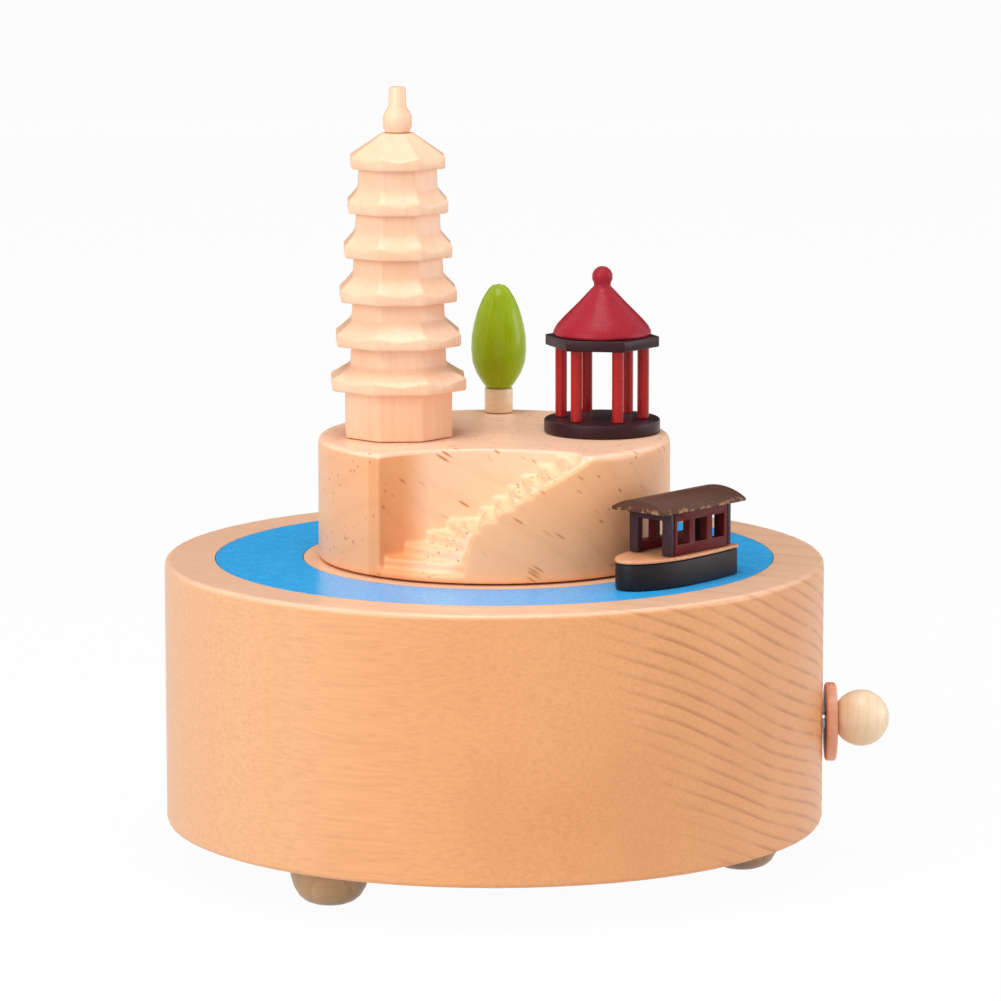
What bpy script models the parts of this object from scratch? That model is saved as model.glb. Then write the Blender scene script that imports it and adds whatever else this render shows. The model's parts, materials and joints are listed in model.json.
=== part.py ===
# Wooden music box with a pagoda island, a painted ring of water and a boat that a
# magnet under the deck carries round it.
#
# Frame: metres, +Z up. The origin is the centre of the bottom cover's underside, the
# knob leaves the base along +X, and the stairs of the island face -Y.
# Run with: blender --background --python part.py

import math

import bmesh
import bpy
from mathutils import Matrix

# Clearances
seat_gap = 0.0003
glue_line = 0.00015
fit_clearance = 0.00005
bay_clearance = 0.0012

# Round wooden base, with its painted ring of water
ring_inner_radius = 0.0320
ring_width = 0.0145
ring_thickness = 0.0008
rim_width = 0.0085
wall_thickness = 0.0120
deck_thickness = 0.0050
base_top_round = 0.0010
base_bottom_round = 0.0008
base_steps = 72

# Bottom cover and its screws
cover_thickness = 0.0040
cover_ledge = 0.0075
cover_screw_angle = 50.3
wood_screw_radius = 0.0011
wood_screw_length = 0.0095
screw_head_radius = 0.0021
screw_head_height = 0.0014
head_recess = 0.0020
screw_slot_width = 0.0005
screw_slot_depth = 0.0005

# Turned feet
foot_count = 3
foot_angle = -9.7
foot_circle = 0.0419
foot_radius = 0.0066
foot_height = 0.0072
foot_flat_radius = 0.0030
foot_tenon_radius = 0.0030

# Movement: bedplate, bearings and arbors
bedplate_thickness = 0.0025
bedplate_right = 0.0170
bedplate_front = -0.0170
bedplate_back = 0.0240
bedplate_corner = 0.0050
shaft_height_over_bedplate = 0.0090
bearing_thickness = 0.0014
bearing_half_width = 0.0022
bearing_crown = 0.0020
movement_screw_radius = 0.0011
movement_screw_places = ((0.0110, -0.0105), (0.0110, 0.0170), (-0.0335, 0.0080))

# Winding: knob, shaft, pinion, crown wheel and arbor
winding_shaft_radius = 0.0015
wall_bush_radius = 0.0035
knob_shadow_gap = 0.00045
disc_radius = 0.0066
disc_thickness = 0.00185
ball_radius = 0.00475
ball_flat = 0.0039
ball_offset = 0.0028
ball_offset_angle = 155.0
ball_peg_radius = 0.0009
winding_teeth = 8
crown_teeth = 28
crown_pitch_radius = 0.00847
crown_tooth_length = 0.0018
crown_disc_thickness = 0.0022
tooth_addendum = 0.0005
tooth_dedendum = 0.0007
arbor_radius = 0.0020
arbor_shoulder_radius = 0.0030

# Spring barrel and the rotor that carries the magnet
barrel_teeth = 48
barrel_pitch_radius = 0.0130
barrel_tooth_length = 0.0016
barrel_flange_margin = 0.0016
barrel_flange_thickness = 0.0015
barrel_radius = 0.0115
barrel_wall = 0.0008
barrel_depth = 0.0080
spring_turns = 5
spring_strip = 0.0004
lid_thickness = 0.0010
lid_hub_radius = 0.0040
lid_hub_height = 0.0024
rotor_stub_radius = 0.0025
rotor_arm_thickness = 0.0015
rotor_arm_end_radius = 0.0038
clip_thickness = 0.0006
magnet_radius = 0.0030
rotor_magnet_height = 0.0035
rotor_clearance = 0.0006

# Pinned cylinder and comb
note_count = 18
pin_rows = 24
cylinder_radius = 0.0065
cylinder_arbor_radius = 0.0010
pin_height = 0.0006
pin_width = 0.00034
cylinder_teeth = 12
comb_tip_clearance = 0.00015
comb_thickness = 0.0009
comb_tooth_length = 0.0098
comb_root_length = 0.0050
comb_tooth_gap = 0.00030
comb_screw_radius = 0.0009

# Governor: gear on the cylinder, intermediate wheel and fan
gear_module = 0.0005
gear_teeth = 27
pinion_teeth = 9
gear_thickness = 0.0013
governor_arbor_radius = 0.0007
governor_lean = 60.0
cheek_thickness = 0.0012
bracket_foot_thickness = 0.0012
bracket_inner_place = 0.0250
fan_blade_length = 0.0068
fan_blade_radius = 0.0033
fan_blade_thickness = 0.0004

# Island with its stairs
island_radius = 0.0293
island_height = 0.0202
island_top_round = 0.0010
island_bottom_relief = 0.0005
stair_count = 11
winder_count = 4
stair_floor = 0.0016
stair_top_step = 0.0009
stair_corner_x = -0.0044
stair_first_x = -0.0026
stair_last_x = 0.0148
riser_aim_y = 0.0220
winder_first_angle = 152.0
winder_last_angle = 104.0
niche_centre_x = -0.0020
niche_centre_y = -0.0260
niche_length = 0.0180
niche_depth = 0.0097

# Pagoda: one entry per storey, from the top one down
pagoda_x = -0.0159
pagoda_y = -0.0010
pagoda_sides = 8
pagoda_turn = 25.5
storey_pitch = 0.00732
ground_wall_height = 0.00785
eave_radii = (0.0084, 0.0089, 0.0096, 0.0104, 0.0111, 0.0120)
wall_radii = (0.0069, 0.0074, 0.00785, 0.0081, 0.00835, 0.0095)
flare_heights = (0.0037, 0.0022, 0.0024, 0.0026, 0.0025, 0.0021)
wall_taper = 0.00015
eave_thickness = 0.0021
eave_corner_lift = 0.0007
eave_under_slope = 0.0005
eave_edge_round = 0.0003
roof_neck_radius = 0.0027
spire_height = 0.0074
spire_bulb_radius = 0.0024
spire_peg_radius = 0.0014

# Tree
tree_x = 0.0008
tree_from_edge = 0.0045
trunk_radius = 0.0024
trunk_height = 0.0041
crown_radius = 0.0047
crown_height = 0.0177

# Pavilion
pavilion_x = 0.0180
pavilion_y = 0.0027
pavilion_floor_radius = 0.0097
pavilion_floor_height = 0.0022
column_count = 6
column_radius = 0.00098
column_height = 0.0118
column_circle = 0.0069
column_angle = -9.0
pavilion_eave_radius = 0.0096
pavilion_eave_height = 0.0018
pavilion_roof_radius = 0.0082
pavilion_roof_height = 0.0080
pavilion_neck_radius = 0.0015
pavilion_ball_radius = 0.0018

# Boat
boat_angle = -40.8
boat_from_ring_edge = 0.0057
boat_clearance = 0.00015
hull_bow = -0.0124
hull_length = 0.0247
hull_half_beam = 0.0052
hull_bow_length = 0.0118
hull_stern_half = 0.0043
hull_height = 0.0042
boat_deck_thickness = 0.0005
cabin_front = -0.0052
cabin_length = 0.0157
cabin_width = 0.0086
cabin_height = 0.0070
cabin_wall = 0.0013
cabin_ceiling = 0.0010
end_frame_thickness = 0.0009
post_width = 0.0018
rear_post_width = 0.0029
frame_beam_drop = 0.0003
window_width = 0.0031
window_height = 0.0038
window_sill = 0.0017
window_pitch = 0.0045
window_count = 3
boat_roof_width = 0.0114
boat_roof_edge = 0.0005
boat_roof_rise = 0.0016
boat_roof_front = 0.0029
boat_roof_rear = 0.0022
boat_magnet_height = 0.0024

# Heights that follow from the sizes above, from the cover's underside upwards
bedplate_bottom = cover_thickness + seat_gap
bedplate_top = bedplate_bottom + bedplate_thickness
shaft_z = bedplate_top + shaft_height_over_bedplate
cylinder_pinion_radius = barrel_pitch_radius * cylinder_teeth / barrel_teeth
winding_pinion_radius = crown_pitch_radius * winding_teeth / crown_teeth
barrel_floor_z = shaft_z + cylinder_pinion_radius + tooth_dedendum
barrel_inside_z = barrel_floor_z + barrel_flange_thickness
barrel_rim_z = barrel_inside_z + barrel_depth
lid_z = barrel_rim_z + seat_gap
lid_hub_z = lid_z + lid_thickness + lid_hub_height
arm_z = lid_hub_z + seat_gap
clip_z = arm_z + rotor_arm_thickness + seat_gap
rotor_magnet_z = arm_z + rotor_arm_thickness + seat_gap
deck_underside = rotor_magnet_z + rotor_magnet_height + rotor_clearance
deck_z = deck_underside + deck_thickness
island_z = deck_z + seat_gap
island_top = island_z + island_height
show_z = island_top + glue_line
tree_y = island_radius - tree_from_edge

# Plan sizes that follow
ring_outer_radius = ring_inner_radius + ring_width
boat_track_radius = ring_inner_radius + boat_from_ring_edge
base_radius = ring_outer_radius + rim_width
cavity_radius = base_radius - wall_thickness
bay_radius = cavity_radius - bay_clearance
ledge_radius = cavity_radius + cover_ledge
pin_reach = cylinder_radius + pin_height
knob_face_x = base_radius + knob_shadow_gap + disc_thickness
outer_bearing_x = -(cavity_radius - 0.0044)

parts = None
cutters = None


# Materials

def material(name, colour, roughness, metallic=0.0):
    """A Principled material with a linear base colour."""
    made = bpy.data.materials.new(name)
    made.use_nodes = True
    shader = made.node_tree.nodes["Principled BSDF"]
    shader.inputs["Base Color"].default_value = (*colour, 1.0)
    shader.inputs["Roughness"].default_value = roughness
    shader.inputs["Metallic"].default_value = metallic
    made.diffuse_color = (*colour, 1.0)
    return made


# Helpers that make, place and cut solids

def add_object(name, mesh, look):
    """Put a mesh in the parts collection, or among the cutters if it has no look."""
    made = bpy.data.objects.new(name, mesh)
    if look is None:
        cutters.objects.link(made)
        made.hide_render = True
        made.display_type = "WIRE"
    else:
        parts.objects.link(made)
        mesh.materials.append(look)
    return made


def turned(name, profile, steps, look):
    """Spin (radius, height) points about Z, from the top down the outer side."""
    on_axis = profile[0][0] == 0.0
    edges = [(i, i + 1) for i in range(len(profile) - 1)]
    if not on_axis:
        edges.append((len(profile) - 1, 0))
    mesh = bpy.data.meshes.new(name)
    mesh.from_pydata([(radius, 0.0, height) for radius, height in profile], edges, [])
    made = add_object(name, mesh, look)
    screw = made.modifiers.new("Turn", "SCREW")
    screw.axis = "Z"
    screw.angle = math.tau
    screw.steps = steps
    screw.render_steps = steps
    screw.use_merge_vertices = True
    screw.merge_threshold = 0.00001
    return made


def plate(name, outlines, bottom, thickness, look):
    """Extrude a flat outline, with any holes as further outlines, upwards from bottom."""
    curve = bpy.data.curves.new(name, "CURVE")
    curve.dimensions = "2D"
    curve.fill_mode = "BOTH"
    curve.extrude = thickness / 2.0
    for outline in outlines:
        spline = curve.splines.new("POLY")
        spline.points.add(len(outline) - 1)
        spline.use_cyclic_u = True
        for point, (x, y) in zip(spline.points, outline):
            point.co = (x, y, 0.0, 1.0)
    outline_object = bpy.data.objects.new(name + "_outline", curve)
    parts.objects.link(outline_object)
    bpy.context.view_layer.update()
    depsgraph = bpy.context.evaluated_depsgraph_get()
    mesh = bpy.data.meshes.new_from_object(outline_object.evaluated_get(depsgraph))
    made = add_object(name, mesh, look)
    made.matrix_world = outline_object.matrix_world
    made.location.z = bottom + thickness / 2.0
    bpy.data.objects.remove(outline_object)
    shape = bmesh.new()
    shape.from_mesh(mesh)
    bmesh.ops.remove_doubles(shape, verts=shape.verts, dist=0.000001)
    bmesh.ops.recalc_face_normals(shape, faces=shape.faces)
    shape.to_mesh(mesh)
    shape.free()
    return made


def box(name, low, high, look):
    """A box between two corners."""
    size = [top - bottom for bottom, top in zip(low, high)]
    shape = bmesh.new()
    bmesh.ops.create_cube(shape, size=1.0, matrix=Matrix.Diagonal((*size, 1.0)))
    mesh = bpy.data.meshes.new(name)
    shape.to_mesh(mesh)
    shape.free()
    made = add_object(name, mesh, look)
    made.location = [(bottom + top) / 2.0 for bottom, top in zip(low, high)]
    return made


def rod(name, radius, length, centre, axis, look, segments=20):
    """A plain round rod along X or Z, by its middle."""
    shape = bmesh.new()
    bmesh.ops.create_cone(shape, cap_ends=True, segments=segments,
                          radius1=radius, radius2=radius, depth=length)
    mesh = bpy.data.meshes.new(name)
    shape.to_mesh(mesh)
    shape.free()
    made = add_object(name, mesh, look)
    made.location = centre
    if axis == "X":
        made.rotation_euler = (0.0, math.pi / 2.0, 0.0)
    return made


def box_group(name, placed_sizes, look):
    """Several boxes in one mesh, each from a matrix and its three sizes."""
    shape = bmesh.new()
    for place, size in placed_sizes:
        bmesh.ops.create_cube(shape, size=1.0, matrix=place @ Matrix.Diagonal((*size, 1.0)))
    mesh = bpy.data.meshes.new(name)
    shape.to_mesh(mesh)
    shape.free()
    return add_object(name, mesh, look)


def lofted(name, rings, look):
    """Join rings of points, from the top down, into one closed solid."""
    count = len(rings[0])
    points = [point for ring in rings for point in ring]
    last = (len(rings) - 1) * count
    faces = [list(range(count)), list(range(last + count - 1, last - 1, -1))]
    for level in range(len(rings) - 1):
        top = level * count
        low = top + count
        for i in range(count):
            j = (i + 1) % count
            faces.append([top + i, low + i, low + j])
            faces.append([top + i, low + j, top + j])
    mesh = bpy.data.meshes.new(name)
    mesh.from_pydata(points, [], faces)
    shape = bmesh.new()
    shape.from_mesh(mesh)
    bmesh.ops.recalc_face_normals(shape, faces=shape.faces)
    shape.to_mesh(mesh)
    shape.free()
    return add_object(name, mesh, look)


def combine(target, tool, operation):
    """Join or cut target with tool, as an exact Boolean."""
    step = target.modifiers.new(tool.name, "BOOLEAN")
    step.operation = operation
    step.solver = "EXACT"
    step.object = tool
    return target


def turn_to_x(made, x, y, z):
    """Lay a piece made about Z along +X, at a place."""
    made.rotation_euler = (0.0, math.pi / 2.0, 0.0)
    made.location = (x, y, z)
    return made


def stand_in_yz(made, x, y, z):
    """Stand a plate up so that its outline's axes run along +Y and +Z."""
    made.rotation_euler = (math.pi / 2.0, 0.0, math.pi / 2.0)
    made.location = (x, y, z)
    return made


def carry(name, place, pieces):
    """Parent pieces to an empty on their joint's axis, leaving them where they are."""
    bpy.context.view_layer.update()
    axis_empty = bpy.data.objects.new(name, None)
    axis_empty.location = place
    axis_empty.empty_display_size = 0.01
    parts.objects.link(axis_empty)
    for piece in pieces:
        piece.parent = axis_empty
        piece.matrix_parent_inverse = Matrix.Translation(place).inverted()


# Outlines

def circle(radius, points=24, x=0.0, y=0.0):
    """Points round a circle."""
    return [(x + radius * math.cos(math.tau * i / points),
             y + radius * math.sin(math.tau * i / points)) for i in range(points)]


def arc(radius, start, end, points, x=0.0, y=0.0):
    """Points along an arc between two angles in degrees, both ends included."""
    angles = [math.radians(start + (end - start) * i / (points - 1)) for i in range(points)]
    return [(x + radius * math.cos(a), y + radius * math.sin(a)) for a in angles]


def gear_outline(teeth, module, phase):
    """A toothed outline with straight-sided teeth; phase is the first tooth's angle."""
    pitch_radius = module * teeth / 2.0
    root = pitch_radius - 1.25 * module
    tip = pitch_radius + 0.85 * module
    step = math.tau / teeth
    outline = []
    for tooth in range(teeth):
        middle = phase + tooth * step
        for radius, share in ((root, -0.25), (tip, -0.11), (tip, 0.11), (root, 0.25)):
            angle = middle + share * step
            outline.append((radius * math.cos(angle), radius * math.sin(angle)))
    return outline


def axial_teeth(name, teeth, radius, length, width, bottom, top, phase, look):
    """Face teeth of a crown wheel: a ring of small blocks between two heights."""
    blocks = []
    for tooth in range(teeth):
        turn = Matrix.Rotation(math.radians(phase) + math.tau * tooth / teeth, 4, "Z")
        place = turn @ Matrix.Translation((radius, 0.0, (bottom + top) / 2.0))
        blocks.append((place, (length, width, top - bottom)))
    return box_group(name, blocks, look)


def spur_teeth_outline(teeth, pitch_radius, phase):
    """A small pinion for a crown wheel, with the crown wheel's tooth heights."""
    step = math.tau / teeth
    root = pitch_radius - tooth_dedendum
    tip = pitch_radius + tooth_addendum
    outline = []
    for tooth in range(teeth):
        middle = phase + tooth * step
        for radius, share in ((root, -0.2), (tip, -0.09), (tip, 0.09), (root, 0.2)):
            angle = middle + share * step
            outline.append((radius * math.cos(angle), radius * math.sin(angle)))
    return outline


# Fasteners

def slotted_screw(name, shank_radius, length, place, points_up, look):
    """A round-headed screw with its head's seat at a place; points_up drives it upwards."""
    head = screw_head_radius
    profile = [(0.0, screw_head_height), (0.7 * head, screw_head_height),
               (head, 0.55 * screw_head_height), (head, 0.0),
               (shank_radius, 0.0), (shank_radius, -length), (0.0, -length)]
    made = turned(name, profile, 14, look)
    slot = box(name + "_slot", (-2.0 * head, -screw_slot_width / 2.0, 0.0),
               (2.0 * head, screw_slot_width / 2.0, 2.0 * screw_slot_depth), None)
    slot.parent = made
    slot.location.z = screw_head_height
    combine(made, slot, "DIFFERENCE")
    made.location = place
    if points_up:
        made.rotation_euler = (math.pi, 0.0, 0.0)
    return made


# Base, cover, ring and feet

def make_base(wood):
    groove = ring_thickness + glue_line
    groove_inner = ring_inner_radius - glue_line
    groove_outer = ring_outer_radius + glue_line
    top_corner = arc(base_top_round, 90.0, 0.0, 4, base_radius - base_top_round,
                     deck_z - base_top_round)
    bottom_corner = arc(base_bottom_round, 0.0, -90.0, 3, base_radius - base_bottom_round,
                        base_bottom_round)
    profile = [(0.0, deck_z), (groove_inner, deck_z), (groove_inner, deck_z - groove),
               (groove_outer, deck_z - groove), (groove_outer, deck_z)]
    profile += top_corner + bottom_corner
    profile += [(ledge_radius, 0.0), (ledge_radius, cover_thickness + seat_gap),
                (cavity_radius, cover_thickness + seat_gap), (cavity_radius, deck_underside),
                (0.0, deck_underside)]
    base = turned("base_shell", profile, base_steps, wood)
    bush_hole = rod("bush_hole", wall_bush_radius + fit_clearance, 2.0 * wall_thickness,
                    (base_radius - wall_thickness / 2.0, 0.0, shaft_z), "X", None)
    combine(base, bush_hole, "DIFFERENCE")
    depth = wood_screw_length + 2.0 * seat_gap
    for number, (x, y) in enumerate(cover_screw_places(), 1):
        hole = rod(f"cover_screw_hole_{number}", wood_screw_radius + fit_clearance, depth,
                   (x, y, head_recess + depth / 2.0), "Z", None, 12)
        combine(base, hole, "DIFFERENCE")
    return base


def cover_screw_places():
    radius = (cavity_radius + ledge_radius) / 2.0
    return [point for point in arc(radius, cover_screw_angle, cover_screw_angle + 240.0, 3)]


def foot_places():
    spread = 360.0 * (foot_count - 1) / foot_count
    return arc(foot_circle, foot_angle, foot_angle + spread, foot_count)


def make_water_ring(paint):
    top = deck_z
    profile = [(ring_outer_radius, top), (ring_outer_radius, top - ring_thickness),
               (ring_inner_radius, top - ring_thickness), (ring_inner_radius, top)]
    return turned("water_ring", profile, base_steps, paint)


def make_cover(board):
    shank_hole = wood_screw_radius + glue_line
    outlines = [circle(ledge_radius - seat_gap, 64)]
    for x, y in foot_places():
        outlines.append(circle(foot_tenon_radius + fit_clearance, 16, x, y))
    for x, y in cover_screw_places() + list(movement_screw_places):
        outlines.append(circle(shank_hole, 12, x, y))
    cover = plate("bottom_cover", outlines, 0.0, cover_thickness, board)
    recess_radius = screw_head_radius + seat_gap
    for number, (x, y) in enumerate(cover_screw_places() + list(movement_screw_places), 1):
        recess = rod(f"head_recess_{number}", recess_radius, 2.0 * head_recess, (x, y, 0.0),
                     "Z", None, 16)
        combine(cover, recess, "DIFFERENCE")
    return cover


def make_feet(wood):
    feet = []
    dome_top = -glue_line
    dome_drop = foot_height - glue_line - 0.0010
    profile = [(0.0, cover_thickness - seat_gap),
               (foot_tenon_radius, cover_thickness - seat_gap),
               (foot_tenon_radius, dome_top), (foot_radius - 0.0005, dome_top),
               (foot_radius, dome_top - 0.0005), (foot_radius, dome_top - 0.0010)]
    for step in range(1, 6):
        turn = math.radians(90.0 * step / 5.0)
        radius = foot_flat_radius + (foot_radius - foot_flat_radius) * math.cos(turn)
        profile.append((radius, dome_top - 0.0010 - dome_drop * math.sin(turn)))
    profile.append((0.0, -foot_height - glue_line))
    profile[-2] = (foot_flat_radius, -foot_height - glue_line)
    for number, (x, y) in enumerate(foot_places(), 1):
        foot = turned(f"foot_{number}", profile, 20, wood)
        foot.location = (x, y, 0.0)
        feet.append(foot)
    return feet


def make_cover_screws(steel):
    for number, (x, y) in enumerate(cover_screw_places(), 1):
        slotted_screw(f"cover_screw_{number}", wood_screw_radius, wood_screw_length,
                      (x, y, head_recess - seat_gap), True, steel)
    reach = bedplate_top - head_recess - seat_gap
    for number, (x, y) in enumerate(movement_screw_places, 1):
        slotted_screw(f"movement_screw_{number}", movement_screw_radius, reach,
                      (x, y, head_recess - seat_gap), True, steel)


# Movement frame

def governor_places():
    """Heights and depths of the intermediate and fan arbors, as (y, z)."""
    spacing = gear_module * (gear_teeth + pinion_teeth) / 2.0
    lean = math.radians(governor_lean)
    intermediate = (-spacing, shaft_z)
    fan = (-spacing - spacing * math.cos(lean), shaft_z + spacing * math.sin(lean))
    return intermediate, fan


def comb_plan():
    """Tip line, tooth root line and back edge of the comb, as y values."""
    tip = pin_reach + comb_tip_clearance
    root = tip + comb_tooth_length
    return tip, root, root + comb_root_length


def cylinder_span():
    """Both ends of the pinned cylinder, as x values, outer end first."""
    outer = outer_bearing_x + bearing_thickness + gear_thickness + 0.0021
    inner = -(barrel_pitch_radius + barrel_flange_margin + 0.0010)
    return outer, inner


def comb_screw_places():
    outer, inner = cylinder_span()
    tip, root, back = comb_plan()
    inset = 0.0032
    return [(outer + inset, (root + back) / 2.0), (inner - inset, (root + back) / 2.0)]


def bearing(name, left, right, top, bedplate, bore_radius, brass):
    """One upright bearing joined to the bedplate, with its bore along X."""
    upright = box(name, (left, -bearing_half_width, bedplate_top - bedplate_thickness / 2.0),
                  (right, bearing_half_width, top), None)
    combine(bedplate, upright, "UNION")
    bore = rod(name + "_bore", bore_radius, 3.0 * (right - left),
               ((left + right) / 2.0, 0.0, shaft_z), "X", None, 16)
    combine(bedplate, bore, "DIFFERENCE")


def bedplate_outline():
    """A rounded rectangle, held inside the round bay of the base."""
    left = outer_bearing_x - 0.0010
    radius = bedplate_corner
    corners = ((bedplate_right - radius, bedplate_back - radius, 0.0),
               (left + radius, bedplate_back - radius, 90.0),
               (left + radius, bedplate_front + radius, 180.0),
               (bedplate_right - radius, bedplate_front + radius, 270.0))
    outline = []
    for x, y, start in corners:
        outline += arc(radius, start, start + 90.0, 6, x, y)
    held = []
    for x, y in outline:
        shrink = min(1.0, bay_radius / math.hypot(x, y))
        held.append((x * shrink, y * shrink))
    return held


def make_bedplate(brass):
    outlines = [bedplate_outline(), circle(arbor_radius + fit_clearance, 16)]
    for x, y in movement_screw_places:
        outlines.append(circle(movement_screw_radius + fit_clearance, 12, x, y))
    bedplate = plate("bedplate", outlines, bedplate_bottom, bedplate_thickness, brass)
    top = shaft_z + bearing_crown
    inner_right = -(crown_pitch_radius + crown_tooth_length / 2.0 + 0.0007)
    bearing("inner_bearing", inner_right - bearing_thickness, inner_right, top, bedplate,
            cylinder_arbor_radius + fit_clearance, brass)
    bearing("outer_bearing", outer_bearing_x, outer_bearing_x + bearing_thickness, top, bedplate,
            cylinder_arbor_radius + fit_clearance, brass)
    knob_bearing_x = crown_pitch_radius + crown_tooth_length / 2.0 + 0.0026
    bearing("winding_bearing", knob_bearing_x, knob_bearing_x + bearing_thickness, top, bedplate,
            winding_shaft_radius + fit_clearance, brass)
    outer, inner = cylinder_span()
    tip, root, back = comb_plan()
    seat_top = shaft_z - comb_thickness / 2.0 - seat_gap
    comb_seat = box("comb_seat", (outer, root + 0.0002, bedplate_top - bedplate_thickness / 2.0),
                    (inner, back, seat_top), None)
    combine(bedplate, comb_seat, "UNION")
    for number, (x, y) in enumerate(comb_screw_places(), 1):
        hole = rod(f"comb_screw_hole_{number}", comb_screw_radius + fit_clearance, 0.0100,
                   (x, y, seat_top), "Z", None, 12)
        combine(bedplate, hole, "DIFFERENCE")
    return bedplate


def make_comb(steel):
    outer, inner = cylinder_span()
    tip, root, back = comb_plan()
    pitch = (inner - outer) / note_count
    outline = [(inner, back), (outer, back)]
    for note in range(note_count):
        left = outer + note * pitch + comb_tooth_gap / 2.0
        right = left + pitch - comb_tooth_gap
        slot_end = root - 0.0035 * note / note_count
        next_end = root - 0.0035 * (note + 1) / note_count
        outline += [(left, slot_end), (left, tip), (right, tip), (right, next_end)]
    outline[2] = (outer, root)
    outline.insert(3, (outer + comb_tooth_gap / 2.0, root))
    outline.append((inner, root - 0.0035))
    outlines = [outline]
    for x, y in comb_screw_places():
        outlines.append(circle(comb_screw_radius + glue_line, 12, x, y))
    bottom = shaft_z - comb_thickness / 2.0
    comb = plate("comb", outlines, bottom, comb_thickness, steel)
    for number, (x, y) in enumerate(comb_screw_places(), 1):
        slotted_screw(f"comb_screw_{number}", comb_screw_radius, 0.0042,
                      (x, y, bottom + comb_thickness + seat_gap), False, steel)
    return comb


def make_governor_bracket(brass):
    (mid_y, mid_z), (fan_y, fan_z) = governor_places()
    foot_z = bedplate_top + seat_gap
    cheek_z = foot_z + bracket_foot_thickness / 2.0
    margin = 0.0015
    front = fan_y - margin - 0.0012
    back = mid_y + margin
    cheek = [(back, cheek_z), (back, mid_z + margin), (fan_y + margin, fan_z + margin),
             (fan_y - margin, fan_z + margin), (front, mid_z + margin), (front, cheek_z)]
    bore = governor_arbor_radius + fit_clearance
    holes = [circle(bore, 12, mid_y, mid_z), circle(bore, 12, fan_y, fan_z)]
    outer_x = outer_bearing_x + 0.0002
    inner_x = -bracket_inner_place
    bracket = plate("governor_bracket", [cheek] + holes, 0.0, cheek_thickness, brass)
    stand_in_yz(bracket, outer_x + cheek_thickness / 2.0, 0.0, 0.0)
    inner_cheek = plate("inner_cheek", [cheek] + holes, 0.0, cheek_thickness, None)
    stand_in_yz(inner_cheek, inner_x + cheek_thickness / 2.0, 0.0, 0.0)
    combine(bracket, inner_cheek, "UNION")
    edge = 0.0002
    foot = box("bracket_foot", (outer_x - edge, front - edge, foot_z),
               (inner_x + cheek_thickness + edge, back + edge, foot_z + bracket_foot_thickness),
               None)
    combine(bracket, foot, "UNION")
    return bracket


# Winding train

def make_winder(knob_wood, disc_wood, steel, brass):
    inner_end = crown_pitch_radius - crown_tooth_length / 2.0 - 0.0014
    shaft_end = knob_face_x - seat_gap
    shaft = rod("winding_shaft", winding_shaft_radius, shaft_end - inner_end,
                ((shaft_end + inner_end) / 2.0, 0.0, shaft_z), "X", steel)
    pinion = plate("winding_pinion",
                   [spur_teeth_outline(winding_teeth, winding_pinion_radius,
                                       -math.pi / 2.0 + math.pi / winding_teeth),
                    circle(winding_shaft_radius + fit_clearance / 2.0, 16)],
                   0.0, crown_tooth_length + 0.0008, brass)
    stand_in_yz(pinion, crown_pitch_radius, 0.0, shaft_z)
    turn = math.radians(ball_offset_angle)
    ball_y = ball_offset * math.cos(turn)
    ball_z = shaft_z + ball_offset * math.sin(turn)
    disc_centre_x = knob_face_x - disc_thickness / 2.0
    rim_round = 0.0003
    disc_profile = [(disc_radius - rim_round, disc_thickness / 2.0),
                    (disc_radius, disc_thickness / 2.0 - rim_round),
                    (disc_radius, rim_round - disc_thickness / 2.0),
                    (disc_radius - rim_round, -disc_thickness / 2.0),
                    (winding_shaft_radius + fit_clearance, -disc_thickness / 2.0),
                    (winding_shaft_radius + fit_clearance, disc_thickness / 2.0)]
    disc = turned("winding_disc", disc_profile, 32, disc_wood)
    turn_to_x(disc, disc_centre_x, 0.0, shaft_z)
    peg_hole = rod("peg_hole", ball_peg_radius + fit_clearance, 2.0 * disc_thickness,
                   (disc_centre_x, ball_y, ball_z), "X", None, 12)
    combine(disc, peg_hole, "DIFFERENCE")
    flat_radius = math.sqrt(ball_radius ** 2 - ball_flat ** 2)
    flat_turn = math.degrees(math.acos(-ball_flat / ball_radius))
    profile = [(0.0, ball_radius)]
    for step in range(1, 11):
        angle = math.radians(flat_turn * step / 10.0)
        profile.append((ball_radius * math.sin(angle), ball_radius * math.cos(angle)))
    profile[-1] = (flat_radius, -ball_flat)
    peg_end = -ball_flat - glue_line - disc_thickness + seat_gap
    profile += [(ball_peg_radius, -ball_flat), (ball_peg_radius, peg_end), (0.0, peg_end)]
    ball = turned("winding_ball", profile, 24, knob_wood)
    turn_to_x(ball, knob_face_x + glue_line + ball_flat, ball_y, ball_z)
    carry("winder_axis", (0.0, 0.0, shaft_z), [shaft, pinion, disc, ball])


def make_wall_bush(brass):
    length = wall_thickness - 0.0006
    bore = winding_shaft_radius + fit_clearance
    bush = turned("wall_bush", [(wall_bush_radius, length / 2.0), (wall_bush_radius, -length / 2.0),
                                (bore, -length / 2.0), (bore, length / 2.0)], 20, brass)
    return turn_to_x(bush, base_radius - wall_thickness / 2.0, 0.0, shaft_z)


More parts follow.
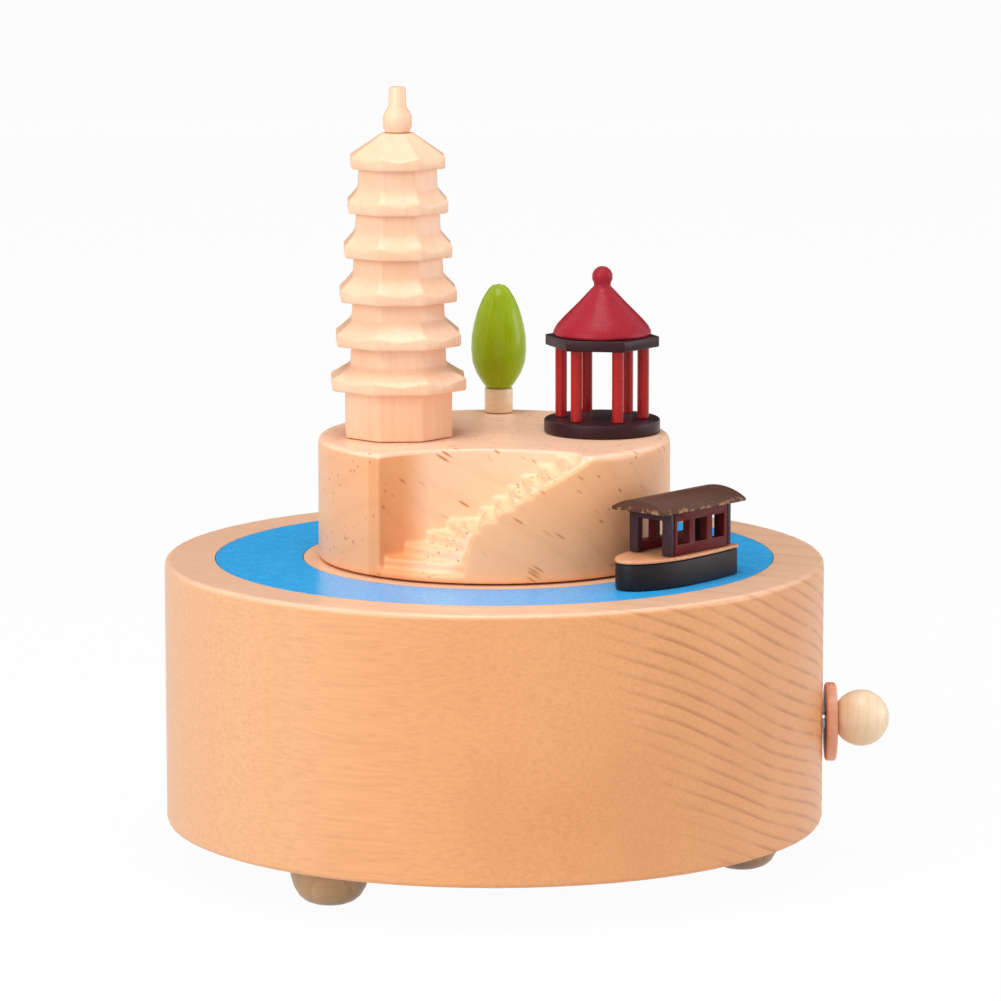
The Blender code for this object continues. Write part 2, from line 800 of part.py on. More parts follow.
def make_arbor(steel, brass):
    crown_tip = shaft_z - winding_pinion_radius + tooth_addendum
    crown_root = shaft_z - winding_pinion_radius - tooth_dedendum
    shoulder_low = bedplate_top + seat_gap
    shoulder_top = barrel_floor_z - seat_gap
    top = lid_z + lid_thickness + lid_hub_height / 2.0 - seat_gap
    foot = bedplate_bottom + seat_gap
    profile = [(0.0, top), (arbor_radius, top), (arbor_radius, shoulder_top),
               (arbor_shoulder_radius, shoulder_top), (arbor_shoulder_radius, shoulder_low),
               (arbor_radius, shoulder_low), (arbor_radius, foot), (0.0, foot)]
    arbor = turned("winding_arbor", profile, 20, steel)
    rim = crown_pitch_radius + crown_tooth_length / 2.0 + 0.0003
    bore = arbor_shoulder_radius + fit_clearance
    disc_bottom = crown_root - crown_disc_thickness
    crown = turned("crown_wheel", [(rim, crown_root), (rim, disc_bottom), (bore, disc_bottom),
                                   (bore, crown_root)], 32, brass)
    teeth = axial_teeth("crown_wheel_teeth", crown_teeth, crown_pitch_radius, crown_tooth_length,
                        0.30 * math.tau * crown_pitch_radius / crown_teeth,
                        crown_root - 0.0004, crown_tip, 0.0, None)
    combine(crown, teeth, "UNION")
    carry("arbor_axis", (0.0, 0.0, shoulder_low), [arbor, crown])


# Spring barrel and rotor

def make_barrel(brass, steel, magnet_grey):
    bore = arbor_radius + fit_clearance
    flange = barrel_pitch_radius + barrel_flange_margin
    inside = barrel_radius - barrel_wall
    profile = [(barrel_radius, barrel_rim_z), (barrel_radius, barrel_inside_z),
               (flange, barrel_inside_z), (flange, barrel_floor_z), (bore, barrel_floor_z),
               (bore, barrel_inside_z), (inside, barrel_inside_z), (inside, barrel_rim_z)]
    barrel = turned("spring_barrel", profile, 36, brass)
    tip = shaft_z + cylinder_pinion_radius - tooth_addendum
    teeth = axial_teeth("barrel_tooth_ring", barrel_teeth, barrel_pitch_radius,
                        barrel_tooth_length,
                        0.30 * math.tau * barrel_pitch_radius / barrel_teeth,
                        tip, barrel_floor_z + 0.0004, 0.0, None)
    combine(barrel, teeth, "UNION")
    hub_bore_top = lid_z + lid_thickness + lid_hub_height / 2.0
    stub_top = clip_z + clip_thickness + 0.0008
    lid_profile = [(0.0, stub_top), (rotor_stub_radius, stub_top), (rotor_stub_radius, lid_hub_z),
                   (lid_hub_radius, lid_hub_z), (lid_hub_radius, lid_z + lid_thickness),
                   (barrel_radius, lid_z + lid_thickness), (barrel_radius, lid_z),
                   (bore, lid_z), (bore, hub_bore_top), (0.0, hub_bore_top)]
    lid = turned("barrel_lid", lid_profile, 24, brass)
    arm = make_rotor_arm(steel)
    clip = turned("rotor_clip", [(lid_hub_radius, clip_z + clip_thickness),
                                 (lid_hub_radius, clip_z),
                                 (rotor_stub_radius + fit_clearance, clip_z),
                                 (rotor_stub_radius + fit_clearance, clip_z + clip_thickness)],
                  20, steel)
    turn = math.radians(boat_angle)
    magnet = rod("rotor_magnet", magnet_radius, rotor_magnet_height,
                 (boat_track_radius * math.cos(turn), boat_track_radius * math.sin(turn),
                  rotor_magnet_z + rotor_magnet_height / 2.0), "Z", magnet_grey, 24)
    spring = make_mainspring(steel)
    carry("barrel_axis", (0.0, 0.0, barrel_floor_z), [barrel, lid, arm, clip, magnet, spring])


def make_mainspring(steel):
    """A flat strip wound from the arbor to the barrel's wall."""
    inner = arbor_radius + seat_gap
    outer = barrel_radius - barrel_wall - seat_gap - spring_strip
    count = spring_turns * 10
    outside = []
    inside = []
    for step in range(count + 1):
        share = step / count
        radius = inner + (outer - inner) * share
        angle = math.tau * spring_turns * share
        inside.append((radius * math.cos(angle), radius * math.sin(angle)))
        outside.append(((radius + spring_strip) * math.cos(angle),
                        (radius + spring_strip) * math.sin(angle)))
    outline = outside + inside[::-1]
    height = barrel_depth - 2.0 * seat_gap
    return plate("mainspring", [outline], barrel_inside_z + seat_gap, height, steel)


def make_rotor_arm(steel):
    """A flat bar, rounded at both ends, from the hub out under the boat's track."""
    hub = lid_hub_radius + 0.0010
    end = rotor_arm_end_radius
    slope = math.degrees(math.acos((hub - end) / boat_track_radius))
    outline = arc(hub, slope, 360.0 - slope, 13)
    outline += arc(end, -slope, slope, 9, boat_track_radius, 0.0)
    hole = circle(rotor_stub_radius + fit_clearance, 20)
    arm = plate("rotor_arm", [outline, hole], arm_z, rotor_arm_thickness, steel)
    arm.rotation_euler = (0.0, 0.0, math.radians(boat_angle))
    return arm


# Pinned cylinder and governor

def make_cylinder(brass, steel):
    outer, inner = cylinder_span()
    length = inner - outer
    bore = cylinder_arbor_radius + fit_clearance / 2.0
    cylinder = turned("pinned_cylinder", [(cylinder_radius, length / 2.0),
                                          (cylinder_radius, -length / 2.0),
                                          (bore, -length / 2.0), (bore, length / 2.0)], 36, brass)
    turn_to_x(cylinder, (outer + inner) / 2.0, 0.0, shaft_z)
    pitch = length / note_count
    root = cylinder_radius - 3.0 * pin_width
    pins = []
    for row in range(pin_rows):
        for note in sorted({(5 * row) % note_count, (7 * row + 4) % note_count}):
            turn = Matrix.Rotation(math.tau * (row + 0.5) / pin_rows, 4, "X")
            along = outer + (note + 0.5) * pitch
            place = Matrix.Translation((along, 0.0, shaft_z)) @ turn
            place = place @ Matrix.Translation((0.0, (root + pin_reach) / 2.0, 0.0))
            pins.append((place, (pin_width, pin_reach - root, pin_width)))
    combine(cylinder, box_group("cylinder_pins", pins, None), "UNION")
    pinion_thickness = barrel_tooth_length + 0.0004
    pinion = plate("cylinder_pinion",
                   [spur_teeth_outline(cylinder_teeth, cylinder_pinion_radius,
                                       math.pi / 2.0 + math.pi / cylinder_teeth),
                    circle(bore, 16)], 0.0, pinion_thickness, brass)
    stand_in_yz(pinion, -barrel_pitch_radius, 0.0, shaft_z)
    gear_x = outer_bearing_x + bearing_thickness + 0.0005 + gear_thickness / 2.0
    gear = plate("cylinder_gear", [gear_outline(gear_teeth, gear_module, math.pi),
                                   circle(bore, 16)], 0.0, gear_thickness, brass)
    stand_in_yz(gear, gear_x, 0.0, shaft_z)
    arbor_outer = outer_bearing_x - 0.0002
    arbor_inner = -(crown_pitch_radius + crown_tooth_length / 2.0 + 0.0005)
    arbor = rod("cylinder_arbor", cylinder_arbor_radius, arbor_inner - arbor_outer,
                ((arbor_inner + arbor_outer) / 2.0, 0.0, shaft_z), "X", steel, 16)
    carry("cylinder_axis", (0.0, 0.0, shaft_z), [cylinder, pinion, gear, arbor])


def make_governor(brass, fan_plastic):
    (mid_y, mid_z), (fan_y, fan_z) = governor_places()
    gear_left = outer_bearing_x + bearing_thickness + 0.0005
    wheel_left = gear_left + gear_thickness + 0.0004
    wheel_thickness = 0.0009
    arbor_left = outer_bearing_x
    arbor_right = -bracket_inner_place + cheek_thickness
    half_tooth = math.pi / pinion_teeth
    lean_angle = math.pi - math.radians(governor_lean)
    wheel = plate("intermediate_wheel", [gear_outline(gear_teeth, gear_module, lean_angle)],
                  0.0, wheel_thickness, brass)
    stand_in_yz(wheel, wheel_left + wheel_thickness / 2.0, mid_y, mid_z)
    pinion_length = wheel_left - gear_left + 0.0004
    mid_pinion = plate("intermediate_pinion", [gear_outline(pinion_teeth, gear_module, half_tooth)],
                       0.0, pinion_length, None)
    stand_in_yz(mid_pinion, gear_left + pinion_length / 2.0 - 0.0001, mid_y, mid_z)
    combine(wheel, mid_pinion, "UNION")
    mid_arbor = rod("intermediate_arbor", governor_arbor_radius, arbor_right - arbor_left,
                    ((arbor_left + arbor_right) / 2.0, mid_y, mid_z), "X", None, 12)
    combine(wheel, mid_arbor, "UNION")
    carry("intermediate_axis", (0.0, mid_y, mid_z), [wheel])
    fan = rod("governor_fan", governor_arbor_radius, arbor_right - arbor_left,
              ((arbor_left + arbor_right) / 2.0, fan_y, fan_z), "X", fan_plastic, 12)
    fan_phase = -math.radians(governor_lean) + half_tooth
    fan_pinion = plate("fan_pinion", [gear_outline(pinion_teeth, gear_module, fan_phase)],
                       0.0, wheel_thickness + 0.0002, None)
    stand_in_yz(fan_pinion, wheel_left + wheel_thickness / 2.0, fan_y, fan_z)
    combine(fan, fan_pinion, "UNION")
    blades_left = wheel_left + wheel_thickness + 0.0016
    blades = box("fan_blades", (blades_left, -fan_blade_radius, -fan_blade_thickness / 2.0),
                 (blades_left + fan_blade_length, fan_blade_radius, fan_blade_thickness / 2.0), None)
    blades.location.y = fan_y
    blades.location.z = fan_z
    combine(fan, blades, "UNION")
    carry("fan_axis", (0.0, fan_y, fan_z), [fan])


# Island

def riser_ends():
    """Outer and inner end of every riser in plan: four winders, then straight flights."""
    corner = (stair_corner_x, -math.sqrt(island_radius ** 2 - stair_corner_x ** 2))
    ends = []
    for winder in range(winder_count):
        share = winder / (winder_count - 1)
        angle = winder_first_angle + (winder_last_angle - winder_first_angle) * share
        direction = (math.cos(math.radians(angle)), math.sin(math.radians(angle)))
        ends.append((corner, back_wall_point(corner, direction)))
    flight_count = stair_count - winder_count
    for flight in range(flight_count):
        x = stair_first_x + (stair_last_x - stair_first_x) * flight / (flight_count - 1)
        outer = (x, -math.sqrt(island_radius ** 2 - x ** 2))
        distance = math.hypot(outer[0], riser_aim_y - outer[1])
        direction = (-outer[0] / distance, (riser_aim_y - outer[1]) / distance)
        ends.append((outer, back_wall_point(outer, direction)))
    return ends


def back_wall_point(start, direction):
    """Where a line from the outside meets the niche's elliptical back wall."""
    px = (start[0] - niche_centre_x) / niche_length
    py = (start[1] - niche_centre_y) / niche_depth
    dx = direction[0] / niche_length
    dy = direction[1] / niche_depth
    a = dx * dx + dy * dy
    b = px * dx + py * dy
    c = px * px + py * py - 1.0
    reach = (-b + math.sqrt(b * b - a * c)) / a
    return (start[0] + reach * direction[0], start[1] + reach * direction[1])


def back_wall(end):
    """Points along the back wall from its left end to a point on it."""
    start_angle = math.asin(0.05)
    end_angle = math.atan2((end[1] - niche_centre_y) / niche_depth,
                           (niche_centre_x - end[0]) / niche_length)
    points = []
    count = max(2, round(14 * (end_angle - start_angle) / (math.pi / 2.0)))
    for step in range(count):
        angle = start_angle + (end_angle - start_angle) * step / count
        points.append((niche_centre_x - niche_length * math.cos(angle),
                       niche_centre_y + niche_depth * math.sin(angle)))
    return points


def make_island(wood):
    relief = island_bottom_relief
    corner = arc(island_top_round, 90.0, 0.0, 4, island_radius - island_top_round,
                 island_top - island_top_round)
    profile = [(0.0, island_top)] + corner
    profile += [(island_radius, island_z + relief), (island_radius - relief, island_z),
                (0.0, island_z)]
    island = turned("island", profile, 72, wood)
    stair_climb = island_top - stair_top_step - (deck_z + stair_floor)
    rise = stair_climb / (stair_count - 1)
    far = 2.0 * island_radius
    for tread, (outer, inner) in enumerate(riser_ends()):
        outline = back_wall(inner) + [inner, outer]
        if tread >= winder_count:
            outline.append((1.6 * outer[0], 1.6 * outer[1]))
        outline += [(outer[0], -far), (niche_centre_x - niche_length, -far)]
        bottom = deck_z + stair_floor + tread * rise
        void = plate(f"tread_{tread}_space", [outline], bottom, 2.0 * island_height, None)
        combine(island, void, "DIFFERENCE")
    return island


# Pagoda

def faceted_ring(radius, height, drop):
    """A ring with straight sides, whose middles hang below its corners by drop."""
    points = []
    half_side = math.pi / pagoda_sides
    for corner in range(pagoda_sides):
        angle = 2.0 * half_side * corner
        middle = radius * math.cos(half_side)
        points.append((radius * math.cos(angle), radius * math.sin(angle), height))
        angle += half_side
        points.append((middle * math.cos(angle), middle * math.sin(angle), height - drop))
    return points


def make_pagoda(wood):
    lift = eave_corner_lift
    storeys = len(eave_radii)
    top_eave_bottom = show_z + ground_wall_height + (storeys - 1) * storey_pitch
    roof_top = top_eave_bottom + eave_thickness + flare_heights[0]
    flare = ((0.18, 0.74), (0.62, 0.32), (1.0, 0.0))
    rings = []
    for storey in range(storeys):
        eave = eave_radii[storey]
        bottom = top_eave_bottom - storey_pitch * storey
        band_top = bottom + eave_thickness
        rise = flare_heights[storey]
        above = roof_neck_radius if storey == 0 else wall_radii[storey - 1] + wall_taper
        rings.append(faceted_ring(above, band_top + rise, 0.0))
        slope = ((0.5, 0.5), (0.9, 0.1), (1.0, 0.0)) if storey == 0 else flare
        for reach, height in slope:
            radius = above + reach * (eave - above)
            rings.append(faceted_ring(radius, band_top + height * rise, reach * lift))
        rings.append(faceted_ring(eave, bottom + eave_edge_round, 0.0))
        rings.append(faceted_ring(eave - eave_edge_round, bottom, 0.0))
        rings.append(faceted_ring(wall_radii[storey], bottom + eave_under_slope, 0.0))
    rings.append(faceted_ring(wall_radii[-1], show_z, 0.0))
    pagoda = lofted("pagoda", rings, wood)
    pagoda.location = (pagoda_x, pagoda_y, 0.0)
    pagoda.rotation_euler = (0.0, 0.0, math.radians(pagoda_turn))
    foot = roof_top + glue_line
    top = foot + spire_height
    bulb = spire_bulb_radius
    profile = [(0.0, top), (0.85 * spire_peg_radius, top), (spire_peg_radius, top - eave_edge_round),
               (1.06 * spire_peg_radius, foot + 0.56 * spire_height)]
    for height, radius in ((0.47, 0.80), (0.40, 0.93), (0.32, 1.0), (0.12, 1.0), (0.0, 0.84)):
        profile.append((radius * bulb, foot + height * spire_height))
    profile.append((0.0, foot))
    spire = turned("pagoda_spire", profile, 16, wood)
    spire.location = (pagoda_x, pagoda_y, 0.0)


# Tree

def make_tree(trunk_wood, green):
    trunk = rod("tree_trunk", trunk_radius, trunk_height,
                (tree_x, tree_y, show_z + trunk_height / 2.0), "Z", trunk_wood, 20)
    bottom = show_z + trunk_height + glue_line
    profile = [(0.0, bottom + crown_height)]
    widths = ((0.985, 0.34), (0.95, 0.50), (0.86, 0.68), (0.74, 0.81), (0.62, 0.91),
              (0.50, 0.98), (0.36, 1.0), (0.24, 0.97), (0.14, 0.87), (0.06, 0.70), (0.0, 0.52))
    for share, width in widths:
        profile.append((crown_radius * width, bottom + crown_height * share))
    profile.append((0.0, bottom))
    crown = turned("tree_crown", profile, 20, green)
    crown.location = (tree_x, tree_y, 0.0)
    return trunk, crown


# Pavilion

def make_pavilion(dark, red):
    floor_top = show_z + pavilion_floor_height
    eave_z = floor_top + column_height + 2.0 * glue_line
    roof_z = eave_z + pavilion_eave_height + glue_line
    edge = 0.0002
    radius = pavilion_floor_radius
    floor = turned("pavilion_floor", [(0.0, floor_top), (radius - edge, floor_top),
                                      (radius, floor_top - edge), (radius, show_z),
                                      (0.0, show_z)], 40, dark)
    floor.location = (pavilion_x, pavilion_y, 0.0)
    for number in range(column_count):
        angle = math.radians(column_angle) + math.tau * number / column_count
        place = (pavilion_x + column_circle * math.cos(angle),
                 pavilion_y + column_circle * math.sin(angle),
                 floor_top + glue_line + column_height / 2.0)
        rod(f"pavilion_column_{number + 1}", column_radius, column_height, place, "Z", red, 12)
    eave = plate("pavilion_eave", [circle(pavilion_eave_radius, 6)], eave_z,
                 pavilion_eave_height, dark)
    eave.location.x = pavilion_x
    eave.location.y = pavilion_y
    eave.rotation_euler = (0.0, 0.0, math.radians(column_angle))
    ball = pavilion_ball_radius
    neck = pavilion_neck_radius
    wide = pavilion_roof_radius
    rise = pavilion_roof_height
    ball_z = roof_z + rise + 0.9 * ball
    profile = [(0.0, ball_z + ball)]
    for turn in (25.0, 50.0, 75.0, 100.0, 122.0):
        angle = math.radians(turn)
        profile.append((ball * math.sin(angle), ball_z + ball * math.cos(angle)))
    profile.append((neck, roof_z + 1.01 * rise))
    for width, height in ((0.26, 0.95), (0.50, 0.70), (0.86, 0.34), (0.95, 0.20), (0.99, 0.09),
                          (1.0, 0.04), (0.98, 0.0)):
        profile.append((width * wide, roof_z + height * rise))
    profile.append((0.0, roof_z))
    roof = turned("pavilion_roof", profile, 32, red)
    roof.location = (pavilion_x, pavilion_y, 0.0)


# Boat

def hull_outline(grow=0.0):
    """The hull in plan: a round bow towards -X, easy sides and a flat stern."""
    half = hull_half_beam + grow
    stern = hull_stern_half + grow
    bow_x = hull_bow - grow
    stern_x = hull_bow + hull_length + grow
    shoulder = hull_bow + hull_bow_length
    side = []
    for step in range(9):
        angle = math.radians(10.0 * step)
        side.append((shoulder - (shoulder - bow_x) * math.cos(angle), half * math.sin(angle)))
    for step in range(5):
        share = step / 4.0
        side.append((shoulder + (stern_x - shoulder) * share, half - (half - stern) * share ** 2))
    return side + [(x, -y) for x, y in side[:0:-1]]


def place_on_boat(made, height):
    """Move a piece from the boat's own frame to the boat's place on the water."""
    turn = Matrix.Rotation(math.radians(boat_angle), 4, "Z")
    out = Matrix.Translation((boat_track_radius, 0.0, height))
    along = Matrix.Rotation(math.pi / 2.0, 4, "Z")
    bpy.context.view_layer.update()
    made.matrix_world = turn @ out @ along @ made.matrix_world
    return made


def make_boat(hull_paint, deck_wood, cabin_paint, frame_paint, roof_paint, magnet_grey):
    keel = deck_z + boat_clearance
    hull = plate("boat_hull", [hull_outline()], 0.0, hull_height, hull_paint)
    magnet_hole = rod("boat_magnet_hole", magnet_radius + glue_line,
                      2.0 * (boat_magnet_height + glue_line), (0.0, 0.0, 0.0), "Z", None, 24)
    place_on_boat(hull, keel)
    place_on_boat(magnet_hole, keel)
    combine(hull, magnet_hole, "DIFFERENCE")
    magnet = rod("boat_magnet", magnet_radius, boat_magnet_height,
                 (0.0, 0.0, boat_magnet_height / 2.0), "Z", magnet_grey, 20)
    place_on_boat(magnet, keel)
    deck_bottom = keel + hull_height + glue_line
    deck = plate("boat_deck", [hull_outline(0.0001)], 0.0, boat_deck_thickness, deck_wood)
    place_on_boat(deck, deck_bottom)
    cabin_z = deck_bottom + boat_deck_thickness + glue_line
    cabin = make_cabin(cabin_z, cabin_paint)
    frames = make_end_frames(cabin_z, frame_paint)
    roof_z = cabin_z + cabin_height + glue_line
    half = boat_roof_width / 2.0
    crown_rise = boat_roof_rise
    radius = (half * half + crown_rise * crown_rise) / (2.0 * crown_rise)
    reach = math.degrees(math.asin(half / radius))
    section = [(half, 0.0)]
    section += arc(radius, 90.0 - reach, 90.0 + reach, 13, 0.0,
                   boat_roof_edge + crown_rise - radius)
    section.append((-half, 0.0))
    length = boat_roof_front + cabin_length + boat_roof_rear
    roof = plate("boat_roof", [section], 0.0, length, roof_paint)
    roof_x = cabin_front - boat_roof_front + length / 2.0
    stand_in_yz(roof, roof_x, 0.0, 0.0)
    place_on_boat(roof, roof_z)
    carry("boat_axis", (0.0, 0.0, deck_z), [hull, magnet, deck, cabin, roof] + frames)


def make_cabin(cabin_z, paint):
    """Side walls with windows under a thin ceiling, open at both ends."""
    left = cabin_front + end_frame_thickness + glue_line
    right = cabin_front + cabin_length - end_frame_thickness - glue_line
    half = cabin_width / 2.0
    cabin = box("boat_cabin", (left, -half, 0.0), (right, half, cabin_height), paint)
    inside = box("cabin_space", (left - 0.001, cabin_wall - half, -0.001),
                 (right + 0.001, half - cabin_wall, cabin_height - cabin_ceiling), None)
    windows = []
    middle = (left + right) / 2.0
    for number in range(window_count):
        x = middle + (number - (window_count - 1) / 2.0) * window_pitch
        place = Matrix.Translation((x, 0.0, window_sill + window_height / 2.0))
        windows.append((place, (window_width, 2.0 * cabin_width, window_height)))
    openings = box_group("cabin_windows", windows, None)
    for piece in (cabin, inside, openings):
        place_on_boat(piece, cabin_z)
    combine(cabin, inside, "DIFFERENCE")
    combine(cabin, openings, "DIFFERENCE")
    return cabin


def make_end_frames(cabin_z, paint):
    """Door frames that close the cabin's two ends: two posts under a beam."""
    half = cabin_width / 2.0
    beam = cabin_height - cabin_ceiling - frame_beam_drop
    front = cabin_front + end_frame_thickness / 2.0
    rear = cabin_front + cabin_length - end_frame_thickness / 2.0
    frames = []
    for name, x, post in (("boat_front_frame", front, post_width),
                          ("boat_rear_frame", rear, rear_post_width)):
        outline = [(-half, 0.0), (post - half, 0.0), (post - half, beam), (half - post, beam),
                   (half - post, 0.0), (half, 0.0), (half, cabin_height), (-half, cabin_height)]
        frame = plate(name, [outline], 0.0, end_frame_thickness, paint)
        stand_in_yz(frame, x, 0.0, 0.0)
        place_on_boat(frame, cabin_z)
        frames.append(frame)
    return frames


def main():
    global parts, cutters
    for old in list(bpy.data.objects):
        bpy.data.objects.remove(old, do_unlink=True)
    parts = bpy.data.collections.new("music_box")
    cutters = bpy.data.collections.new("cutters")
    bpy.context.scene.collection.children.link(parts)
    bpy.context.scene.collection.children.link(cutters)

    beech = material("oiled beech", (0.76, 0.47, 0.27), 0.5)
    maple = material("pale maple", (0.87, 0.66, 0.45), 0.5)
    plywood = material("birch plywood", (0.72, 0.53, 0.34), 0.6)
    water = material("blue satin paint", (0.07, 0.36, 0.72), 0.35)
    green = material("green gloss paint", (0.26, 0.46, 0.03), 0.25)
    red = material("red gloss paint", (0.42, 0.02, 0.025), 0.3)
    dark = material("dark purple paint", (0.045, 0.02, 0.03), 0.5)
    black = material("black satin paint", (0.025, 0.022, 0.024), 0.4)
    cabin_red = material("cabin red paint", (0.16, 0.03, 0.03), 0.5)
    post_grey = material("grey purple paint", (0.07, 0.035, 0.05), 0.5)
    roof_brown = material("brown roof paint", (0.09, 0.05, 0.045), 0.6)
    salmon = material("reddish pear wood", (0.85, 0.40, 0.26), 0.5)
    brass = material("plain brass", (0.78, 0.57, 0.24), 0.3, 1.0)
    steel = material("polished steel", (0.62, 0.62, 0.64), 0.25, 1.0)
    magnet = material("nickel plated magnet", (0.70, 0.68, 0.65), 0.2, 1.0)
    nylon = material("white nylon", (0.80, 0.80, 0.78), 0.45)

    make_base(beech)
    make_water_ring(water)
    make_cover(plywood)
    make_feet(maple)
    make_cover_screws(steel)
    make_bedplate(brass)
    make_comb(steel)
    make_governor_bracket(brass)
    make_wall_bush(brass)
    make_winder(maple, salmon, steel, brass)
    make_arbor(steel, brass)
    make_barrel(brass, steel, magnet)
    make_cylinder(brass, steel)
    make_governor(brass, nylon)
    make_island(beech)
    make_pagoda(maple)
    make_tree(maple, green)
    make_pavilion(dark, red)
    make_boat(black, beech, cabin_red, post_grey, roof_brown, magnet)


main()
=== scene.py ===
# %% [markdown]
# # A turned wooden music box
#
# This lesson dresses a small music box: a round beech base with a painted
# ring of water, a carved island with stairs, a pagoda, a tree, a pavilion
# and a boat. The engineering model is loaded first and never changed. Every
# step then adds a finish, or a softer and finer stand-in for a hard-edged
# solid, and explains how the real surface was made.

# %% Load the engineering model
import json
import math

import bpy
from mathutils import Matrix, Vector

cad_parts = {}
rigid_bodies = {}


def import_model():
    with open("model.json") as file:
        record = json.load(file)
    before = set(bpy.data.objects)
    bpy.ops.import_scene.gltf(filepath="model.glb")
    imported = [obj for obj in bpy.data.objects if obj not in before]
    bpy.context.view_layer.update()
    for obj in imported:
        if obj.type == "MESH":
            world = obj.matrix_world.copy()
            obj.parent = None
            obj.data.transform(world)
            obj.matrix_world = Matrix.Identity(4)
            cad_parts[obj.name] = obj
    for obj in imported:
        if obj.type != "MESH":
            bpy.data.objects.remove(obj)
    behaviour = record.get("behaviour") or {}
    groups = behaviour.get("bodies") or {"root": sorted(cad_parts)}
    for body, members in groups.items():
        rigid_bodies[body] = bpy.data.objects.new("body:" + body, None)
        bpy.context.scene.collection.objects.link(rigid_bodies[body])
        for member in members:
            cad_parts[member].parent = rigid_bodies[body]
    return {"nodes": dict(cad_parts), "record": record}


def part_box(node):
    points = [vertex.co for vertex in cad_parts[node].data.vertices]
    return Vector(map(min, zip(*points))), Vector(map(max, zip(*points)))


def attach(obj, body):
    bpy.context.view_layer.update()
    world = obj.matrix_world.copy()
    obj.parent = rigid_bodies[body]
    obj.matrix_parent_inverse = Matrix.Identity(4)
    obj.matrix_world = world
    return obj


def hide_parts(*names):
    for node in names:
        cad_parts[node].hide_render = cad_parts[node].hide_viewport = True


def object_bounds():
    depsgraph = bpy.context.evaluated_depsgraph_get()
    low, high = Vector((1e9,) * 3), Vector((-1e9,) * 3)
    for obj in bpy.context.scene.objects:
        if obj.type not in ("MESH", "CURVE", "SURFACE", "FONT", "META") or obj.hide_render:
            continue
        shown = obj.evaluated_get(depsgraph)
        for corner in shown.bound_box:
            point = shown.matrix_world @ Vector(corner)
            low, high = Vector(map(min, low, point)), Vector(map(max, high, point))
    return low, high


for leftover in list(bpy.data.objects):
    bpy.data.objects.remove(leftover)
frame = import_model()
cad_low, cad_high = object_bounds()
nodes = frame["nodes"]
names_of_body = frame["record"]["behaviour"]["bodies"]
body_of_node = {name: body for body, names in names_of_body.items() for name in names}

# %% [markdown]
# ## The camera
#
# The photograph was taken with a long lens from a little above the deck, so
# the ellipses of the deck are flat. The camera stands 0.9 m in front of the
# box and looks nine degrees down.

# %% Camera
lens_mm = 197.8
camera_place = (-0.0004, -0.9051, 0.20175)
camera_turn_degrees = (80.694, 0.04, -0.098)
camera_data = bpy.data.cameras.new("studio_camera")
camera_data.sensor_width = 36.0
camera_data.lens = lens_mm
camera_data.clip_start = 0.01
camera_data.clip_end = 20.0
camera = bpy.data.objects.new("studio_camera", camera_data)
bpy.context.scene.collection.objects.link(camera)
camera.location = camera_place
camera.rotation_euler = [math.radians(angle) for angle in camera_turn_degrees]
bpy.context.scene.camera = camera
bpy.context.scene.view_settings.view_transform = "Standard"
print("camera", tuple(round(value, 4) for value in camera.location))

# %% [markdown]
# ## Small helpers for colours and nodes
#
# Colours are written as sRGB hex, as a paint chart gives them, and one
# function turns them into the linear numbers a shader works with. Another
# adds a shader node, sets its options and plugs in its inputs. The last two
# start a material with an empty tree, and tell the rays that should see the
# white studio from those that light the box.


# %% Colour and node helpers
def linear(hex_colour):
    """An sRGB hex colour as linear red, green, blue and alpha."""
    channels = [int(hex_colour[place:place + 2], 16) / 255.0 for place in (1, 3, 5)]
    lit = [value / 12.92 if value <= 0.04045 else ((value + 0.055) / 1.055) ** 2.4 for value in channels]
    return (*lit, 1.0)


def add_node(tree, kind, inputs=None, **options):
    """Add a node, set its options, and fill or link its inputs."""
    made = tree.nodes.new(kind)
    for name, value in options.items():
        setattr(made, name, value)
    for socket, value in (inputs or {}).items():
        if isinstance(value, bpy.types.NodeSocket):
            tree.links.new(value, made.inputs[socket])
        else:
            made.inputs[socket].default_value = value
    return made


def blank_look(name):
    """A new material and its node tree, emptied."""
    look = bpy.data.materials.new(name)
    look.use_nodes = True
    look.node_tree.nodes.clear()
    return look, look.node_tree


def seeing_rays(tree):
    """1 for rays from the camera, through glass or off a gloss, and 0 for the rays that carry light."""
    rays = add_node(tree, "ShaderNodeLightPath")
    direct = add_node(tree, "ShaderNodeMath",
                      {0: rays.outputs["Is Camera Ray"], 1: rays.outputs["Is Transmission Ray"]},
                      operation="MAXIMUM")
    every = add_node(tree, "ShaderNodeMath", {0: direct.outputs[0], 1: rays.outputs["Is Glossy Ray"]},
                     operation="MAXIMUM")
    return every.outputs[0]


print("beech in linear light", [round(value, 3) for value in linear("#E7A56D")])

# %% [markdown]
# ## Floor and backdrop
#
# The photograph shows the box on plain white. A wide white floor catches a
# faint shadow, and the world behind it is white to the camera, to metal and
# to glass, while it lights the box more gently than it looks. Photographers
# stand a black flag behind a table so that a glossy top does not mirror the
# bright room: here it keeps the painted water a full blue.

